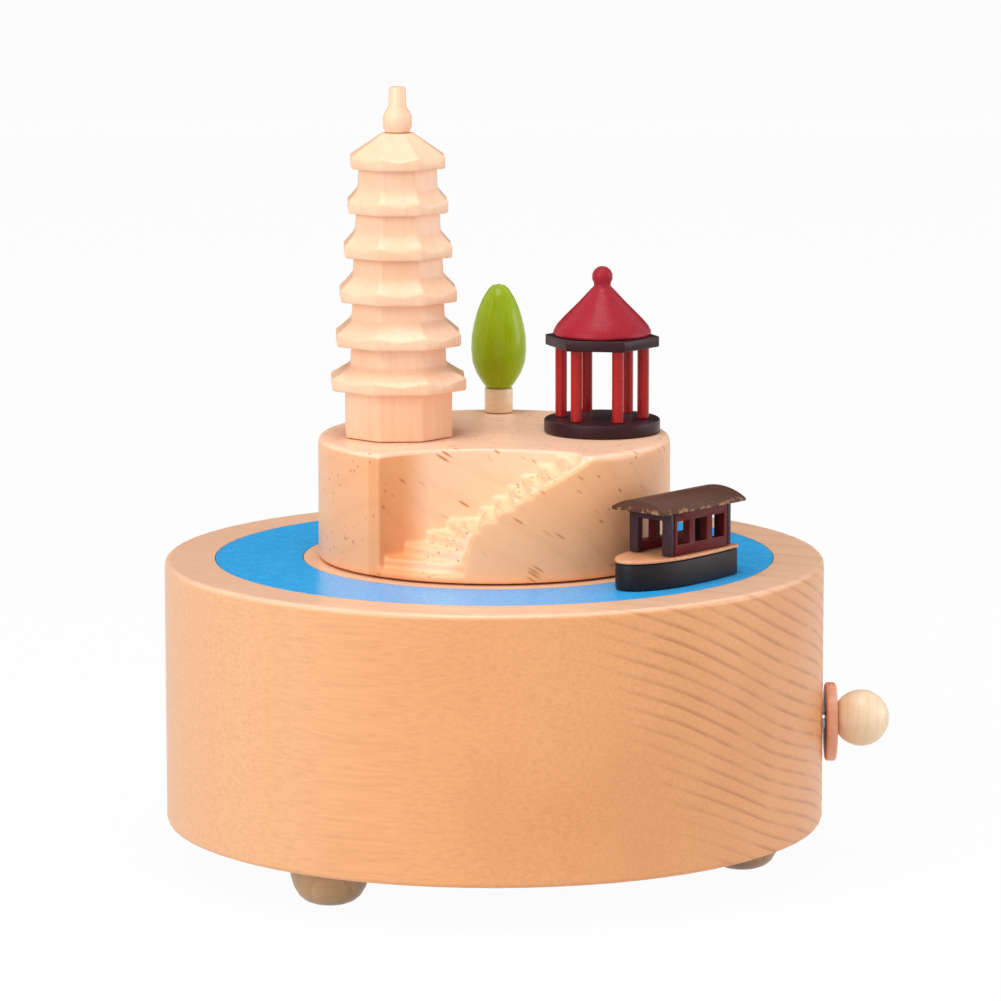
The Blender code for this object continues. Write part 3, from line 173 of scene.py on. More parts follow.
# %% Floor
white = (1.0, 1.0, 1.0, 1.0)
foot_floor = cad_low.z
floor_width = 6.0
glow_share = 0.96  # the rest of what the camera sees is paper, which takes the faint shadow
bpy.ops.object.select_all(action="DESELECT")
bpy.ops.mesh.primitive_plane_add(size=floor_width, location=(0.0, 0.0, foot_floor))
floor = bpy.context.object
floor.name = "floor"
floor_look, tree = blank_look("white_studio_paper")
paper = add_node(tree, "ShaderNodeBsdfDiffuse", {"Color": linear("#E2E2E2")})
glow = add_node(tree, "ShaderNodeEmission", {"Color": white, "Strength": 1.0})
share = add_node(tree, "ShaderNodeMath", {0: seeing_rays(tree), 1: glow_share}, operation="MULTIPLY")
both = add_node(tree, "ShaderNodeMixShader", {0: share.outputs[0], 1: paper.outputs[0], 2: glow.outputs[0]})
add_node(tree, "ShaderNodeOutputMaterial", {"Surface": both.outputs[0]})
floor.data.materials.append(floor_look)
print("floor at", round(foot_floor * 1000.0, 2), "mm")

# %% Black flag
flag_place = (0.0, 1.3, 0.50)
flag_scale = (2.0, 0.80, 1.0)
bpy.ops.object.select_all(action="DESELECT")
bpy.ops.mesh.primitive_plane_add(size=1.0, location=flag_place, rotation=(math.radians(90.0), 0.0, 0.0))
flag = bpy.context.object
flag.name = "black_flag"
flag.scale = flag_scale
flag_look, tree = blank_look("black_flag_velvet")
velvet = add_node(tree, "ShaderNodeBsdfDiffuse", {"Color": linear("#101010")})
add_node(tree, "ShaderNodeOutputMaterial", {"Surface": velvet.outputs[0]})
flag.data.materials.append(flag_look)
flag.visible_camera = False
print("flag", tuple(round(value, 2) for value in flag.location))

# %% World light
world = bpy.data.worlds.new("white_studio")
bpy.context.scene.world = world
world.use_nodes = True
tree = world.node_tree
tree.nodes.clear()
world_level = 0.48
daylight = (1.0, 0.985, 0.97)
soft_light = add_node(tree, "ShaderNodeBackground", {"Color": (*daylight, 1.0), "Strength": world_level})
white_room = add_node(tree, "ShaderNodeBackground", {"Color": white, "Strength": 1.0})
either = add_node(tree, "ShaderNodeMixShader",
                  {0: seeing_rays(tree), 1: soft_light.outputs[0], 2: white_room.outputs[0]})
add_node(tree, "ShaderNodeOutputWorld", {"Surface": either.outputs[0]})
print("world light", world_level)

# %% [markdown]
# ## Lamps
#
# The left and centre of the base are bright and its right side falls off,
# so a large soft lamp stands to the front left, above the box. A weaker one
# beside the knob keeps that side open, and one overhead brightens the decks
# and the rims of the turned edges.


# %% Soft lamps
deck_middle = (0.0, 0.0, 0.045)


def soft_lamp(name, place, size, watts, tint):
    """A square softbox that faces the middle of the deck."""
    light = bpy.data.lights.new(name, "AREA")
    light.size = size
    light.energy = watts
    light.color = tint
    lamp = bpy.data.objects.new(name, light)
    bpy.context.scene.collection.objects.link(lamp)
    lamp.location = place
    aim = Vector(deck_middle) - Vector(place)
    lamp.rotation_euler = aim.to_track_quat("-Z", "Y").to_euler()
    print(name, watts, "W")


soft_lamp("key_softbox", place=(-0.66, -0.83, 0.55), size=0.85, watts=7.6, tint=daylight)
soft_lamp("fill_softbox", place=(1.05, 0.04, 0.25), size=0.50, watts=3.3, tint=(1.0, 0.98, 0.96))
soft_lamp("top_softbox", place=(-0.08, -0.22, 0.97), size=0.50, watts=4.6, tint=white[:3])

# %% [markdown]
# ## Wood: where a board's figure comes from
#
# Growth rings are nested tubes round the pith of the tree. A turned piece
# cuts through them, so their lines run straight on one side of the piece
# and sweep in arcs on another. The pattern is therefore worked out in three
# dimensions: each piece gets a grain direction and a pith line, and the
# distance from that line gives the rings.


# %% Grain space of one piece of wood
def grain_space(tree, yaw, pitch, centre_mm):
    """Object coordinates in millimetres, turned so that X runs along the grain."""
    place = add_node(tree, "ShaderNodeTexCoord")
    turned = add_node(tree, "ShaderNodeMapping",
                      {"Vector": place.outputs["Object"],
                       "Location": tuple(-value / 1000.0 for value in centre_mm)},
                      vector_type="POINT")
    spun = add_node(tree, "ShaderNodeMapping",
                    {"Vector": turned.outputs[0], "Rotation": (0.0, math.radians(pitch), math.radians(yaw)),
                     "Scale": (1000.0, 1000.0, 1000.0)}, vector_type="POINT")
    return spun.outputs[0]


# %% Growth rings
def growth_rings(tree, grain, spacing_mm, waviness_mm):
    """0 in early wood to 1 at the dark line where a year's growth ends.

    The line darkens over the second half of the year, is darkest at
    line_full and drops off after line_drops, all in shares of one year.
    """
    line_begins, line_full, line_drops = 0.54, 0.92, 0.93
    weakest_year = 0.35
    stretched = add_node(tree, "ShaderNodeMapping", {"Vector": grain, "Scale": (0.012, 0.05, 0.05)})
    drift = add_node(tree, "ShaderNodeTexNoise",
                     {"Vector": stretched.outputs[0], "Scale": 1.0, "Detail": 0.0})
    parts = add_node(tree, "ShaderNodeSeparateXYZ", {0: grain})
    flat = add_node(tree, "ShaderNodeCombineXYZ", {1: parts.outputs[1], 2: parts.outputs[2]})
    radius = add_node(tree, "ShaderNodeVectorMath", {0: flat.outputs[0]}, operation="LENGTH")
    shift = add_node(tree, "ShaderNodeMath",
                     {0: drift.outputs[0], 1: waviness_mm, 2: radius.outputs["Value"]},
                     operation="MULTIPLY_ADD")
    years = add_node(tree, "ShaderNodeMath", {0: shift.outputs[0], 1: spacing_mm}, operation="DIVIDE")
    within = add_node(tree, "ShaderNodeMath", {0: years.outputs[0]}, operation="FRACT")
    line = add_node(tree, "ShaderNodeMapRange", {0: within.outputs[0], 1: line_begins, 2: line_full},
                    interpolation_type="SMOOTHERSTEP")
    fall = add_node(tree, "ShaderNodeMapRange", {0: within.outputs[0], 1: 1.0, 2: line_drops})
    both = add_node(tree, "ShaderNodeMath", {0: line.outputs[0], 1: fall.outputs[0]}, operation="MULTIPLY")
    weather = add_node(tree, "ShaderNodeMapping", {"Vector": grain, "Scale": (0.04, 0.16, 0.16)})
    good_years = add_node(tree, "ShaderNodeTexNoise",
                          {"Vector": weather.outputs[0], "Scale": 1.0, "Detail": 1.0})
    share = add_node(tree, "ShaderNodeMapRange",
                     {0: good_years.outputs[0], 1: 0.35, 2: 0.60, 3: weakest_year, 4: 1.0})
    varied = add_node(tree, "ShaderNodeMath", {0: both.outputs[0], 1: share.outputs[0]}, operation="MULTIPLY")
    return varied.outputs[0]


# %% Fibres and ray flecks
def fibres(tree, grain, width_mm, length_mm):
    """Long soft streaks along the grain."""
    stretched = add_node(tree, "ShaderNodeMapping",
                         {"Vector": grain, "Scale": (1.0 / length_mm, 1.0 / width_mm, 1.0 / width_mm)})
    streak = add_node(tree, "ShaderNodeTexNoise",
                      {"Vector": stretched.outputs[0], "Scale": 1.0, "Detail": 3.0, "Roughness": 0.6})
    return streak.outputs[0]


def ray_flecks(tree, grain, width_mm, length_mm, thin):
    """The short dark dashes that beech shows: stretched cells, most of them left out."""
    stretched = add_node(tree, "ShaderNodeMapping",
                         {"Vector": grain, "Scale": (1.0 / length_mm, 1.0 / width_mm, 1.0 / width_mm)})
    cells = add_node(tree, "ShaderNodeTexVoronoi", {"Vector": stretched.outputs[0], "Scale": 0.5},
                     feature="F1")
    core = add_node(tree, "ShaderNodeMapRange", {0: cells.outputs["Distance"], 1: 0.30, 2: 0.12},
                    interpolation_type="SMOOTHSTEP")
    chance = add_node(tree, "ShaderNodeSeparateXYZ", {0: cells.outputs["Color"]})
    kept = add_node(tree, "ShaderNodeMapRange", {0: chance.outputs[0], 1: thin, 2: thin + 0.1})
    both = add_node(tree, "ShaderNodeMath", {0: core.outputs[0], 1: kept.outputs[0]}, operation="MULTIPLY")
    return both.outputs[0]


print("wood pattern helpers ready")

# %% [markdown]
# ## Beech and its lacquer
#
# The case is beech, turned, sanded fine and finished with a thin satin
# lacquer. The light wood colour drifts over centimetres, the rings darken
# it in lines, the fibres streak it and the rays leave small dashes. The
# lacquer gives a soft sheen over a very shallow grain bump.


# %% Beech maker
def wood_finish(name, light, dark, ring_colour, yaw=0.0, pitch=0.0, pith_mm=(0.0, 0.0, 0.0), ring_mm=3.2,
                ring_strength=0.4, wave_mm=3.0, fleck_strength=0.5, fleck_mm=(0.35, 2.4), fleck_thin=0.55,
                fibre_strength=0.25, ring_region=None, ring_top=None, tints=(), roughness=0.42, coat=0.15,
                patch_mm=26.0):
    """A lacquered wood with rings, fibres and flecks at their real sizes.

    ring_region is (low, high, tilt, least): the rings fade in from least to full as x + tilt * z passes from
    low to high, in mm. ring_top is (low, high, share): they fade to that share as z passes from low to high.
    Each tint is (measure, low, high, colour): the wood drifts to the colour as x, y, z or the radius passes
    from low to high; the pieces below use the tints to paint light and shade.
    """
    look, tree = blank_look(name)
    grain = grain_space(tree, yaw, pitch, pith_mm)
    patch = add_node(tree, "ShaderNodeTexNoise", {"Vector": grain, "Scale": 1.0 / patch_mm, "Detail": 2.0})
    spread = add_node(tree, "ShaderNodeMapRange", {0: patch.outputs[0], 1: 0.35, 2: 0.65})
    body = add_node(tree, "ShaderNodeMix", {0: spread.outputs[0], 6: linear(light), 7: linear(dark)},
                    data_type="RGBA")
    own = add_node(tree, "ShaderNodeTexCoord")
    in_mm = add_node(tree, "ShaderNodeVectorMath", {0: own.outputs["Object"], 1: (1000.0, 1000.0, 1000.0)},
                     operation="MULTIPLY")
    axes = add_node(tree, "ShaderNodeSeparateXYZ", {0: in_mm.outputs[0]})
    plan = add_node(tree, "ShaderNodeCombineXYZ", {0: axes.outputs[0], 1: axes.outputs[1]})
    radius = add_node(tree, "ShaderNodeVectorMath", {0: plan.outputs[0]}, operation="LENGTH")
    measures = {"x": axes.outputs[0], "y": axes.outputs[1], "z": axes.outputs[2],
                "radius": radius.outputs["Value"]}
    for measure, low, high, colour in tints:
        drift = add_node(tree, "ShaderNodeMapRange", {0: measures[measure], 1: low, 2: high},
                         interpolation_type="SMOOTHSTEP")
        body = add_node(tree, "ShaderNodeMix", {0: drift.outputs[0], 6: body.outputs[2], 7: linear(colour)},
                        data_type="RGBA")
    rings = growth_rings(tree, grain, ring_mm, wave_mm)
    strength = add_node(tree, "ShaderNodeMath", {0: rings, 1: ring_strength}, operation="MULTIPLY")
    if ring_region is not None:
        low, high, tilt, least = ring_region
        slanted = add_node(tree, "ShaderNodeMath", {0: axes.outputs[2], 1: tilt, 2: axes.outputs[0]},
                           operation="MULTIPLY_ADD")
        side = add_node(tree, "ShaderNodeMapRange",
                        {0: slanted.outputs[0], 1: low, 2: high, 3: least, 4: 1.0},
                        interpolation_type="SMOOTHSTEP")
        strength = add_node(tree, "ShaderNodeMath", {0: strength.outputs[0], 1: side.outputs[0]},
                            operation="MULTIPLY")
    if ring_top is not None:
        low, high, share = ring_top
        top = add_node(tree, "ShaderNodeMapRange", {0: axes.outputs[2], 1: low, 2: high, 3: 1.0, 4: share})
        strength = add_node(tree, "ShaderNodeMath", {0: strength.outputs[0], 1: top.outputs[0]},
                            operation="MULTIPLY")
    ringed = add_node(tree, "ShaderNodeMix",
                      {0: strength.outputs[0], 6: body.outputs[2], 7: linear(ring_colour)}, data_type="RGBA")
    streak = fibres(tree, grain, width_mm=0.45, length_mm=14.0)
    fibre = add_node(tree, "ShaderNodeMapRange", {0: streak, 1: 0.42, 2: 0.75, 3: 0.0, 4: fibre_strength})
    fibred = add_node(tree, "ShaderNodeMix",
                      {0: fibre.outputs[0], 6: ringed.outputs[2], 7: linear(ring_colour)}, data_type="RGBA")
    fleck = ray_flecks(tree, grain, fleck_mm[0], fleck_mm[1], fleck_thin)
    fleck_share = add_node(tree, "ShaderNodeMath", {0: fleck, 1: fleck_strength}, operation="MULTIPLY")
    flecked = add_node(tree, "ShaderNodeMix",
                       {0: fleck_share.outputs[0], 6: fibred.outputs[2], 7: linear(ring_colour)},
                       data_type="RGBA")
    shine = add_node(tree, "ShaderNodeMapRange", {0: streak, 3: roughness - 0.05, 4: roughness + 0.07})
    grain_depth = 0.00003
    relief = add_node(tree, "ShaderNodeBump", {"Height": streak, "Strength": 0.25, "Distance": grain_depth})
    lacquered = add_node(tree, "ShaderNodeBsdfPrincipled",
                         {"Base Color": flecked.outputs[2], "Roughness": shine.outputs[0],
                          "Normal": relief.outputs[0], "Coat Weight": coat, "Coat Roughness": 0.25})
    add_node(tree, "ShaderNodeOutputMaterial", {"Surface": lacquered.outputs[0]})
    print(name, "rings every", ring_mm, "mm")
    return look


# %% Woods of this music box
# Turned beech under satin lacquer: warm, quiet on the left, with ring lines that sweep down over the right
# side and fade on the deck. Painted sheen: the tint on x paints the left side paler, where the key lamp's
# gloss falls. Painted reflection: the tint on z paints the deck paler, as if the white backdrop mirrored in
# it.
base_beech = wood_finish("turned_beech_lacquer_and_painted_sheen", "#E7A56D", "#E09C65", "#B4703F", yaw=25.0, pitch=0.0,
                         pith_mm=(0.0, 110.0, 290.0), ring_mm=2.3, ring_strength=0.66,
                         ring_region=(30.0, 45.0, 0.45, 0.03), ring_top=(43.4, 43.9, 0.3), wave_mm=2.2,
                         fleck_strength=0.12, fleck_mm=(0.3, 2.0), fibre_strength=0.26, coat=0.2,
                         tints=(("x", -6.0, -44.0, "#E9AF7F"), ("z", 43.4, 43.9, "#EFC1A0")))
# Carved beech cut across the rays: brown dashes 3 mm long, drawn wider than real ones so that they show. The
# tints are painted light and shade: the niche and the top are painted paler to lift the shade that the pagoda
# and the niche's walls cast there, the niche's left wall is painted a darker orange as painted shade, and two
# tints bring the wood back to its plain tone past the niche's left end and behind the niche.
island_beech = wood_finish("carved_beech_flecks_and_painted_shade", "#F8BB89", "#F5B480", "#C4763C", yaw=-12.0,
                           pitch=-34.0, pith_mm=(10.0, 40.0, 120.0), ring_mm=4.0, ring_strength=0.10,
                           fleck_strength=0.85, fleck_mm=(0.50, 3.0), fleck_thin=0.58, fibre_strength=0.08,
                           tints=(("radius", 28.9, 28.2, "#F9CDA7"), ("x", -10.0, -15.5, "#EBA26B"),
                                  ("x", -20.2, -20.8, "#F1AF7D"), ("y", -15.0, -8.0, "#F3B483"),
                                  ("z", 63.8, 64.2, "#FACDAE")))
# Maple, turned and faceted: pale, with fine upright fibres and almost no figure.
pagoda_maple = wood_finish("turned_maple_pale", "#FAD0B0", "#F5C4A0", "#D89C6A", yaw=0.0, pitch=90.0,
                           pith_mm=(30.0, 20.0, 0.0), ring_mm=2.6, ring_strength=0.10, fleck_strength=0.06,
                           fibre_strength=0.20, patch_mm=14.0)
# Small turned beech: the finger ball and the trunk, creamy with faint rings.
plain_beech = wood_finish("plain_beech_turned_small", "#FBE3C4", "#F7DAB6", "#CE9E6C", yaw=90.0, pitch=0.0,
                          pith_mm=(12.0, 9.0, 20.0), ring_mm=1.8, ring_strength=0.15, fleck_strength=0.2,
                          fleck_mm=(0.2, 1.1), fibre_strength=0.2, patch_mm=8.0)
# The same beech, painted darker and greyer: painted shade, for the shadow that the box casts over its feet.
foot_beech = wood_finish("foot_beech_painted_shade", "#CBA67E", "#BD966C", "#9A7044", yaw=0.0, pitch=0.0,
                         pith_mm=(12.0, 9.0, 20.0), ring_mm=1.8, ring_strength=0.25, fleck_strength=0.2,
                         fleck_mm=(0.2, 1.1), fibre_strength=0.25, patch_mm=8.0)
# Oiled cherry: the salmon pink disc behind the finger ball.
cherry_disc = wood_finish("cherry_disc_oiled", "#FBBA98", "#F5AB89", "#CA7C5A", yaw=90.0, pitch=90.0,
                          pith_mm=(50.0, 8.0, 0.0), ring_mm=1.3, ring_strength=0.3, fleck_strength=0.15,
                          fibre_strength=0.2, patch_mm=6.0)
# Oiled pine with rings under a millimetre apart: the orange deck of the boat.
deck_pine = wood_finish("boat_deck_pine_oiled", "#E6A87D", "#DC996D", "#9A6238", yaw=41.0, pitch=0.0,
                        pith_mm=(10.0, 10.0, 20.0), ring_mm=0.9, ring_strength=0.35, fleck_strength=0.2,
                        fleck_mm=(0.15, 1.2), fibre_strength=0.3, patch_mm=6.0)
# Birch plywood, unfinished and matt: the cover under the box.
plywood_cover = wood_finish("birch_plywood_cover", "#E2BD8C", "#D8AF7B", "#A87846", yaw=0.0, pitch=0.0,
                            pith_mm=(0.0, 0.0, 60.0), ring_mm=2.4, ring_strength=0.3, fleck_strength=0.15,
                            fibre_strength=0.3, roughness=0.6, coat=0.0)

# %% [markdown]
# ## Paints and metals
#
# The coloured pieces are wood under brushed or sprayed lacquer, so each
# paint has a faint uneven sheen and a little grain showing through. The
# movement is brass, blued spring steel and polished arbors.


# %% Paint and metal maker
def coated_finish(name, colour, worn_colour, roughness, grain_mm=0.8, unevenness=0.15, metallic=0.0,
                  specular=0.5, relief_mm=0.02, stretch=(1.0, 1.0, 1.0), rubbed=None):
    """A painted, plated or bare metal surface with a fine uneven skin.

    rubbed is (low, high, colour): below high and above low (mm) the coat is
    rubbed through to the colour in patches, most of it at low.
    """
    look, tree = blank_look(name)
    place = add_node(tree, "ShaderNodeTexCoord")
    sized = add_node(tree, "ShaderNodeMapping", {"Vector": place.outputs["Object"], "Scale": stretch})
    skin = add_node(tree, "ShaderNodeTexNoise", {"Vector": sized.outputs[0], "Scale": 1000.0 / grain_mm,
                                                 "Detail": 4.0, "Roughness": 0.6})
    share = add_node(tree, "ShaderNodeMapRange",
                     {0: skin.outputs[0], 1: 0.35, 2: 0.75, 3: 0.0, 4: unevenness})
    mixed = add_node(tree, "ShaderNodeMix", {0: share.outputs[0], 6: linear(colour), 7: linear(worn_colour)},
                     data_type="RGBA")
    if rubbed is not None:
        low, high, bare = rubbed
        level = add_node(tree, "ShaderNodeSeparateXYZ", {0: place.outputs["Object"]})
        near = add_node(tree, "ShaderNodeMapRange", {0: level.outputs[2], 1: high / 1000.0, 2: low / 1000.0})
        patches = add_node(tree, "ShaderNodeTexNoise", {"Vector": place.outputs["Object"], "Scale": 900.0,
                                                        "Detail": 3.0})
        through = add_node(tree, "ShaderNodeMapRange", {0: patches.outputs[0], 1: 0.50, 2: 0.58})
        worn = add_node(tree, "ShaderNodeMath", {0: near.outputs[0], 1: through.outputs[0]},
                        operation="MULTIPLY")
        mixed = add_node(tree, "ShaderNodeMix", {0: worn.outputs[0], 6: mixed.outputs[2], 7: linear(bare)},
                         data_type="RGBA")
    shine = add_node(tree, "ShaderNodeMapRange", {0: skin.outputs[0], 3: max(0.02, roughness - 0.08),
                                                  4: roughness + 0.10})
    relief = add_node(tree, "ShaderNodeBump", {"Height": skin.outputs[0], "Strength": 0.3,
                                               "Distance": relief_mm / 1000.0})
    surface = add_node(tree, "ShaderNodeBsdfPrincipled",
                       {"Base Color": mixed.outputs[2], "Roughness": shine.outputs[0], "Metallic": metallic,
                        "Normal": relief.outputs[0], "Specular IOR Level": specular})
    add_node(tree, "ShaderNodeOutputMaterial", {"Surface": surface.outputs[0]})
    return look


# %% Paints
# Sprayed satin enamel: even blue, smooth enough to mirror the island softly.
water_blue = coated_finish("water_blue_satin_enamel", "#36B3FB", "#4CBBF2", 0.26, grain_mm=2.4,
                           relief_mm=0.001)
# Dipped gloss enamel: leaf green with upright streaks where it ran.
tree_green = coated_finish("leaf_green_gloss_enamel", "#96B00A", "#AAC424", 0.22, grain_mm=1.2,
                           unevenness=0.5, specular=0.2, stretch=(1.0, 1.0, 0.25))
# Plum black lacquer, a little rubbed: floor and eave of the pavilion.
pavilion_dark = coated_finish("plum_black_lacquer", "#2E141A", "#44282E", 0.34, grain_mm=0.5, unevenness=0.4,
                              specular=0.16)
# Gloss lacquer on thin dowels: a narrow bright line down each column.
column_red = coated_finish("column_red_gloss_lacquer", "#A40C10", "#CC3420", 0.16, grain_mm=0.6,
                           unevenness=0.25, specular=0.3, relief_mm=0.006)
# The same red, thinner and blotchy over the turned roof.
roof_red = coated_finish("roof_red_gloss_lacquer", "#A42634", "#761A26", 0.32, grain_mm=0.7, unevenness=0.5,
                         specular=0.12)
# Black stain that lets a hint of grain through: the hull.
hull_black = coated_finish("hull_black_satin_stain", "#151013", "#332C2F", 0.45, grain_mm=0.4, unevenness=0.4,
                           specular=0.2)
# Dark stains, matt: oxblood on the cabin, plum on its door frames.
cabin_red = coated_finish("cabin_oxblood_stain", "#571214", "#742624", 0.42, grain_mm=0.4, unevenness=0.5,
                          specular=0.15)
frame_purple = coated_finish("door_frame_plum_stain", "#35202A", "#523C44", 0.42, grain_mm=0.4,
                             unevenness=0.5, specular=0.2)
# Walnut stain, rubbed through to pale wood along the edge of the boat's roof.
boat_roof_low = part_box("boat_roof")[0].z * 1000.0
roof_brown = coated_finish("boat_roof_walnut_stain", "#573629", "#40241C", 0.42, grain_mm=0.5, unevenness=0.6,
                           specular=0.2, rubbed=(boat_roof_low, boat_roof_low + 0.9, "#B98A66"))

# %% Metals and nylon of the movement
# Brushed along the plate, turned round the cylinder, and ground across the
# comb: the stretch draws the tool marks out in that direction.
plate_brass = coated_finish("brushed_plate_brass", "#C9A24E", "#B08A3C", 0.3, grain_mm=0.15, metallic=1.0,
                            stretch=(0.05, 1.0, 1.0))
turned_brass = coated_finish("turned_cylinder_brass", "#D6B05C", "#BE964A", 0.24, grain_mm=0.12, metallic=1.0,
                             stretch=(1.0, 0.2, 0.2))
# Steels from mirror bright to dull, the blued spring, and nickel on the magnets.
polished_steel = coated_finish("polished_arbor_steel", "#C4C6CA", "#A9ABB0", 0.18, grain_mm=0.1, metallic=1.0)
rotor_steel = coated_finish("stamped_rotor_steel", "#B6B8BC", "#96989C", 0.32, grain_mm=0.2, metallic=1.0)
comb_steel = coated_finish("ground_comb_steel", "#C9CBCF", "#AEB1B6", 0.22, grain_mm=0.12, metallic=1.0,
                           stretch=(1.0, 0.05, 1.0))
screw_steel = coated_finish("zinc_plated_screw_steel", "#BFC1C4", "#A2A4A8", 0.28, grain_mm=0.15,
                            metallic=1.0)
spring_steel = coated_finish("blued_spring_steel", "#5A6480", "#70665A", 0.28, grain_mm=0.4, metallic=1.0)
magnet_nickel = coated_finish("nickel_plated_magnet", "#CFCDC8", "#B6B3AD", 0.16, grain_mm=0.3, metallic=1.0)
# Undyed nylon as it leaves the mould: milky and soft in its shine.
fan_nylon = coated_finish("natural_nylon_moulding", "#E9E7DE", "#DAD7CB", 0.45, grain_mm=0.25, unevenness=0.3)
print(len(bpy.data.materials), "materials")

# %% [markdown]
# ## Give every solid its finish
#
# The record names a material slot for every solid. One table pairs slots
# with the finishes above, and each solid's slots are filled from it.

# %% Finishes by slot
finishes = {
    "base_wood": base_beech, "water_paint": water_blue, "cover_board": plywood_cover, "foot_wood": foot_beech,
    "screw_steel": screw_steel, "movement_brass": plate_brass, "cylinder_brass": turned_brass,
    "arbor_steel": polished_steel, "rotor_steel": rotor_steel, "comb_steel": comb_steel,
    "spring_steel": spring_steel, "magnet_nickel": magnet_nickel, "fan_nylon": fan_nylon,
    "knob_disc_wood": cherry_disc, "knob_ball_wood": plain_beech, "island_wood": island_beech,
    "pagoda_wood": pagoda_maple, "spire_wood": pagoda_maple, "trunk_wood": plain_beech,
    "tree_paint": tree_green,
    "pavilion_dark": pavilion_dark, "column_red": column_red, "roof_red": roof_red, "hull_black": hull_black,
    "boat_deck_wood": deck_pine, "cabin_red": cabin_red, "frame_purple": frame_purple,
    "boat_roof_brown": roof_brown}
slot_of_node = {entry["node"]: entry["material_slot"] for entry in frame["record"]["subparts"]}
for name, solid in nodes.items():
    for place in range(len(solid.material_slots)):
        solid.material_slots[place].material = finishes[slot_of_node[name]]
print("dressed", len(nodes), "solids")

# %% [markdown]
# ## Softer edges
#
# A computer solid has knife edges, and every real piece was sanded. The
# visible pieces are copied, their loose triangles are merged into one skin,
# flat faces are joined again, and a small bevel eases the edges before the
# copy stands in for its solid.


# %% Eased copy of a solid
merge_distance = 0.000002
flat_within_degrees = 0.8
bevel_over_degrees = 32.0


def eased_copy(node, edge_mm, smooth=35.0):
    """A merged copy of a solid with its sharp edges rounded."""
    solid = nodes[node]
    bpy.ops.object.select_all(action="DESELECT")
    piece = bpy.data.objects.new("soft_" + node, solid.data.copy())
    bpy.context.scene.collection.objects.link(piece)
    bpy.context.view_layer.objects.active = piece
    piece.select_set(True)
    bpy.ops.object.mode_set(mode="EDIT")
    bpy.ops.mesh.select_all(action="SELECT")
    bpy.ops.mesh.remove_doubles(threshold=merge_distance)
    bpy.ops.mesh.dissolve_limited(angle_limit=math.radians(flat_within_degrees))
    bpy.ops.mesh.normals_make_consistent(inside=False)
    bpy.ops.object.mode_set(mode="OBJECT")
    if edge_mm:
        bevel = piece.modifiers.new("eased_edges", "BEVEL")
        bevel.width = edge_mm / 1000.0
        bevel.segments = 2
        bevel.limit_method = "ANGLE"
        bevel.angle_limit = math.radians(bevel_over_degrees)
        bpy.ops.object.modifier_apply(modifier=bevel.name)
    bpy.ops.object.shade_smooth_by_angle(angle=math.radians(smooth))
    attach(piece, body_of_node[node])
    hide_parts(node)
    return piece


# %% Ease the visible pieces
# Sizes are in millimetres. A turned piece has its rounding in the solid already
# and gets 0, which merges its skin only.
edge_sizes = {"base_shell": 0.0, "water_ring": 0.0, "pagoda": 0.28, "pagoda_spire": 0.0, "tree_trunk": 0.15,
              "tree_crown": 0.0, "pavilion_floor": 0.25, "pavilion_eave": 0.2, "pavilion_roof": 0.0,
              "winding_disc": 0.25, "winding_ball": 0.0, "foot_1": 0.0, "foot_2": 0.0, "foot_3": 0.0,
              "boat_hull": 0.2, "boat_deck": 0.1, "boat_cabin": 0.12, "boat_front_frame": 0.15,
              "boat_rear_frame": 0.15, "boat_roof": 0.15}
soft = {}
for node, edge in edge_sizes.items():
    soft[node] = eased_copy(node, edge)
for number in range(1, 7):
    soft["pavilion_column_%d" % number] = eased_copy("pavilion_column_%d" % number, 0.0, smooth=50.0)
print(len(soft), "eased pieces,", sum(len(piece.data.polygons) for piece in soft.values()), "faces")

# %% Flat shading of the broad deck
# The deck is one broad face beside the small faces of its rounded rim. Normals
# weighted by area keep it evenly flat, without smears that run in from the rim.
bpy.ops.object.select_all(action="DESELECT")
bpy.context.view_layer.objects.active = soft["base_shell"]
soft["base_shell"].select_set(True)
flat_deck = soft["base_shell"].modifiers.new("flat_deck_shading", "WEIGHTED_NORMAL")
flat_deck.keep_sharp = True
bpy.ops.object.modifier_apply(modifier=flat_deck.name)
print("deck shading weighted by area")

# %% [markdown]
# ## Hand-shaped outlines
#
# The tree crown and the pavilion roof are sanded by hand after turning: the
# crown narrows more towards its tip, and the roof runs straighter from its
# neck to its rim. Each ring of points is drawn towards the axis by a factor
# that depends on its height.


# %% Draw a turned outline in
def draw_in(piece, node, factors):
    """Scale each height of a turned piece towards its axis, factors at even steps from bottom to top."""
    low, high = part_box(node)
    axis_x, axis_y = (low.x + high.x) / 2.0, (low.y + high.y) / 2.0
    for vertex in piece.data.vertices:
        step = (vertex.co.z - low.z) / (high.z - low.z) * (len(factors) - 1)
        before = max(0, min(len(factors) - 2, int(step)))
        factor = factors[before] + (factors[before + 1] - factors[before]) * (step - before)
        vertex.co.x = axis_x + (vertex.co.x - axis_x) * factor
        vertex.co.y = axis_y + (vertex.co.y - axis_y) * factor
    print(node, "drawn in by up to", round((1.0 - min(factors)) * 100.0), "percent")


crown_factors = (0.90, 0.91, 0.97, 1.0, 1.0, 1.0, 0.99, 0.97, 0.93, 0.82, 0.66)
roof_factors = (1.0, 0.995, 0.95, 0.92, 0.94, 0.91, 0.80, 0.93, 0.97, 0.97, 0.97)
draw_in(soft["tree_crown"], "tree_crown", crown_factors)
draw_in(soft["pavilion_roof"], "pavilion_roof", roof_factors)

# %% [markdown]
# ## The carved island
#
# The island is a turned block with a stair niche carved into its front. On
# the real one the treads are worn into shallow lens shapes, the corners are
# sanded round, and the outer wall follows the climb of the stairs in one
# smooth slope. The block is made from a cylinder, each tread is cut by a
# space that reaches from its riser up through the top, and a scoop dishes
# it. A remesh at the end rounds every edge as sandpaper does.


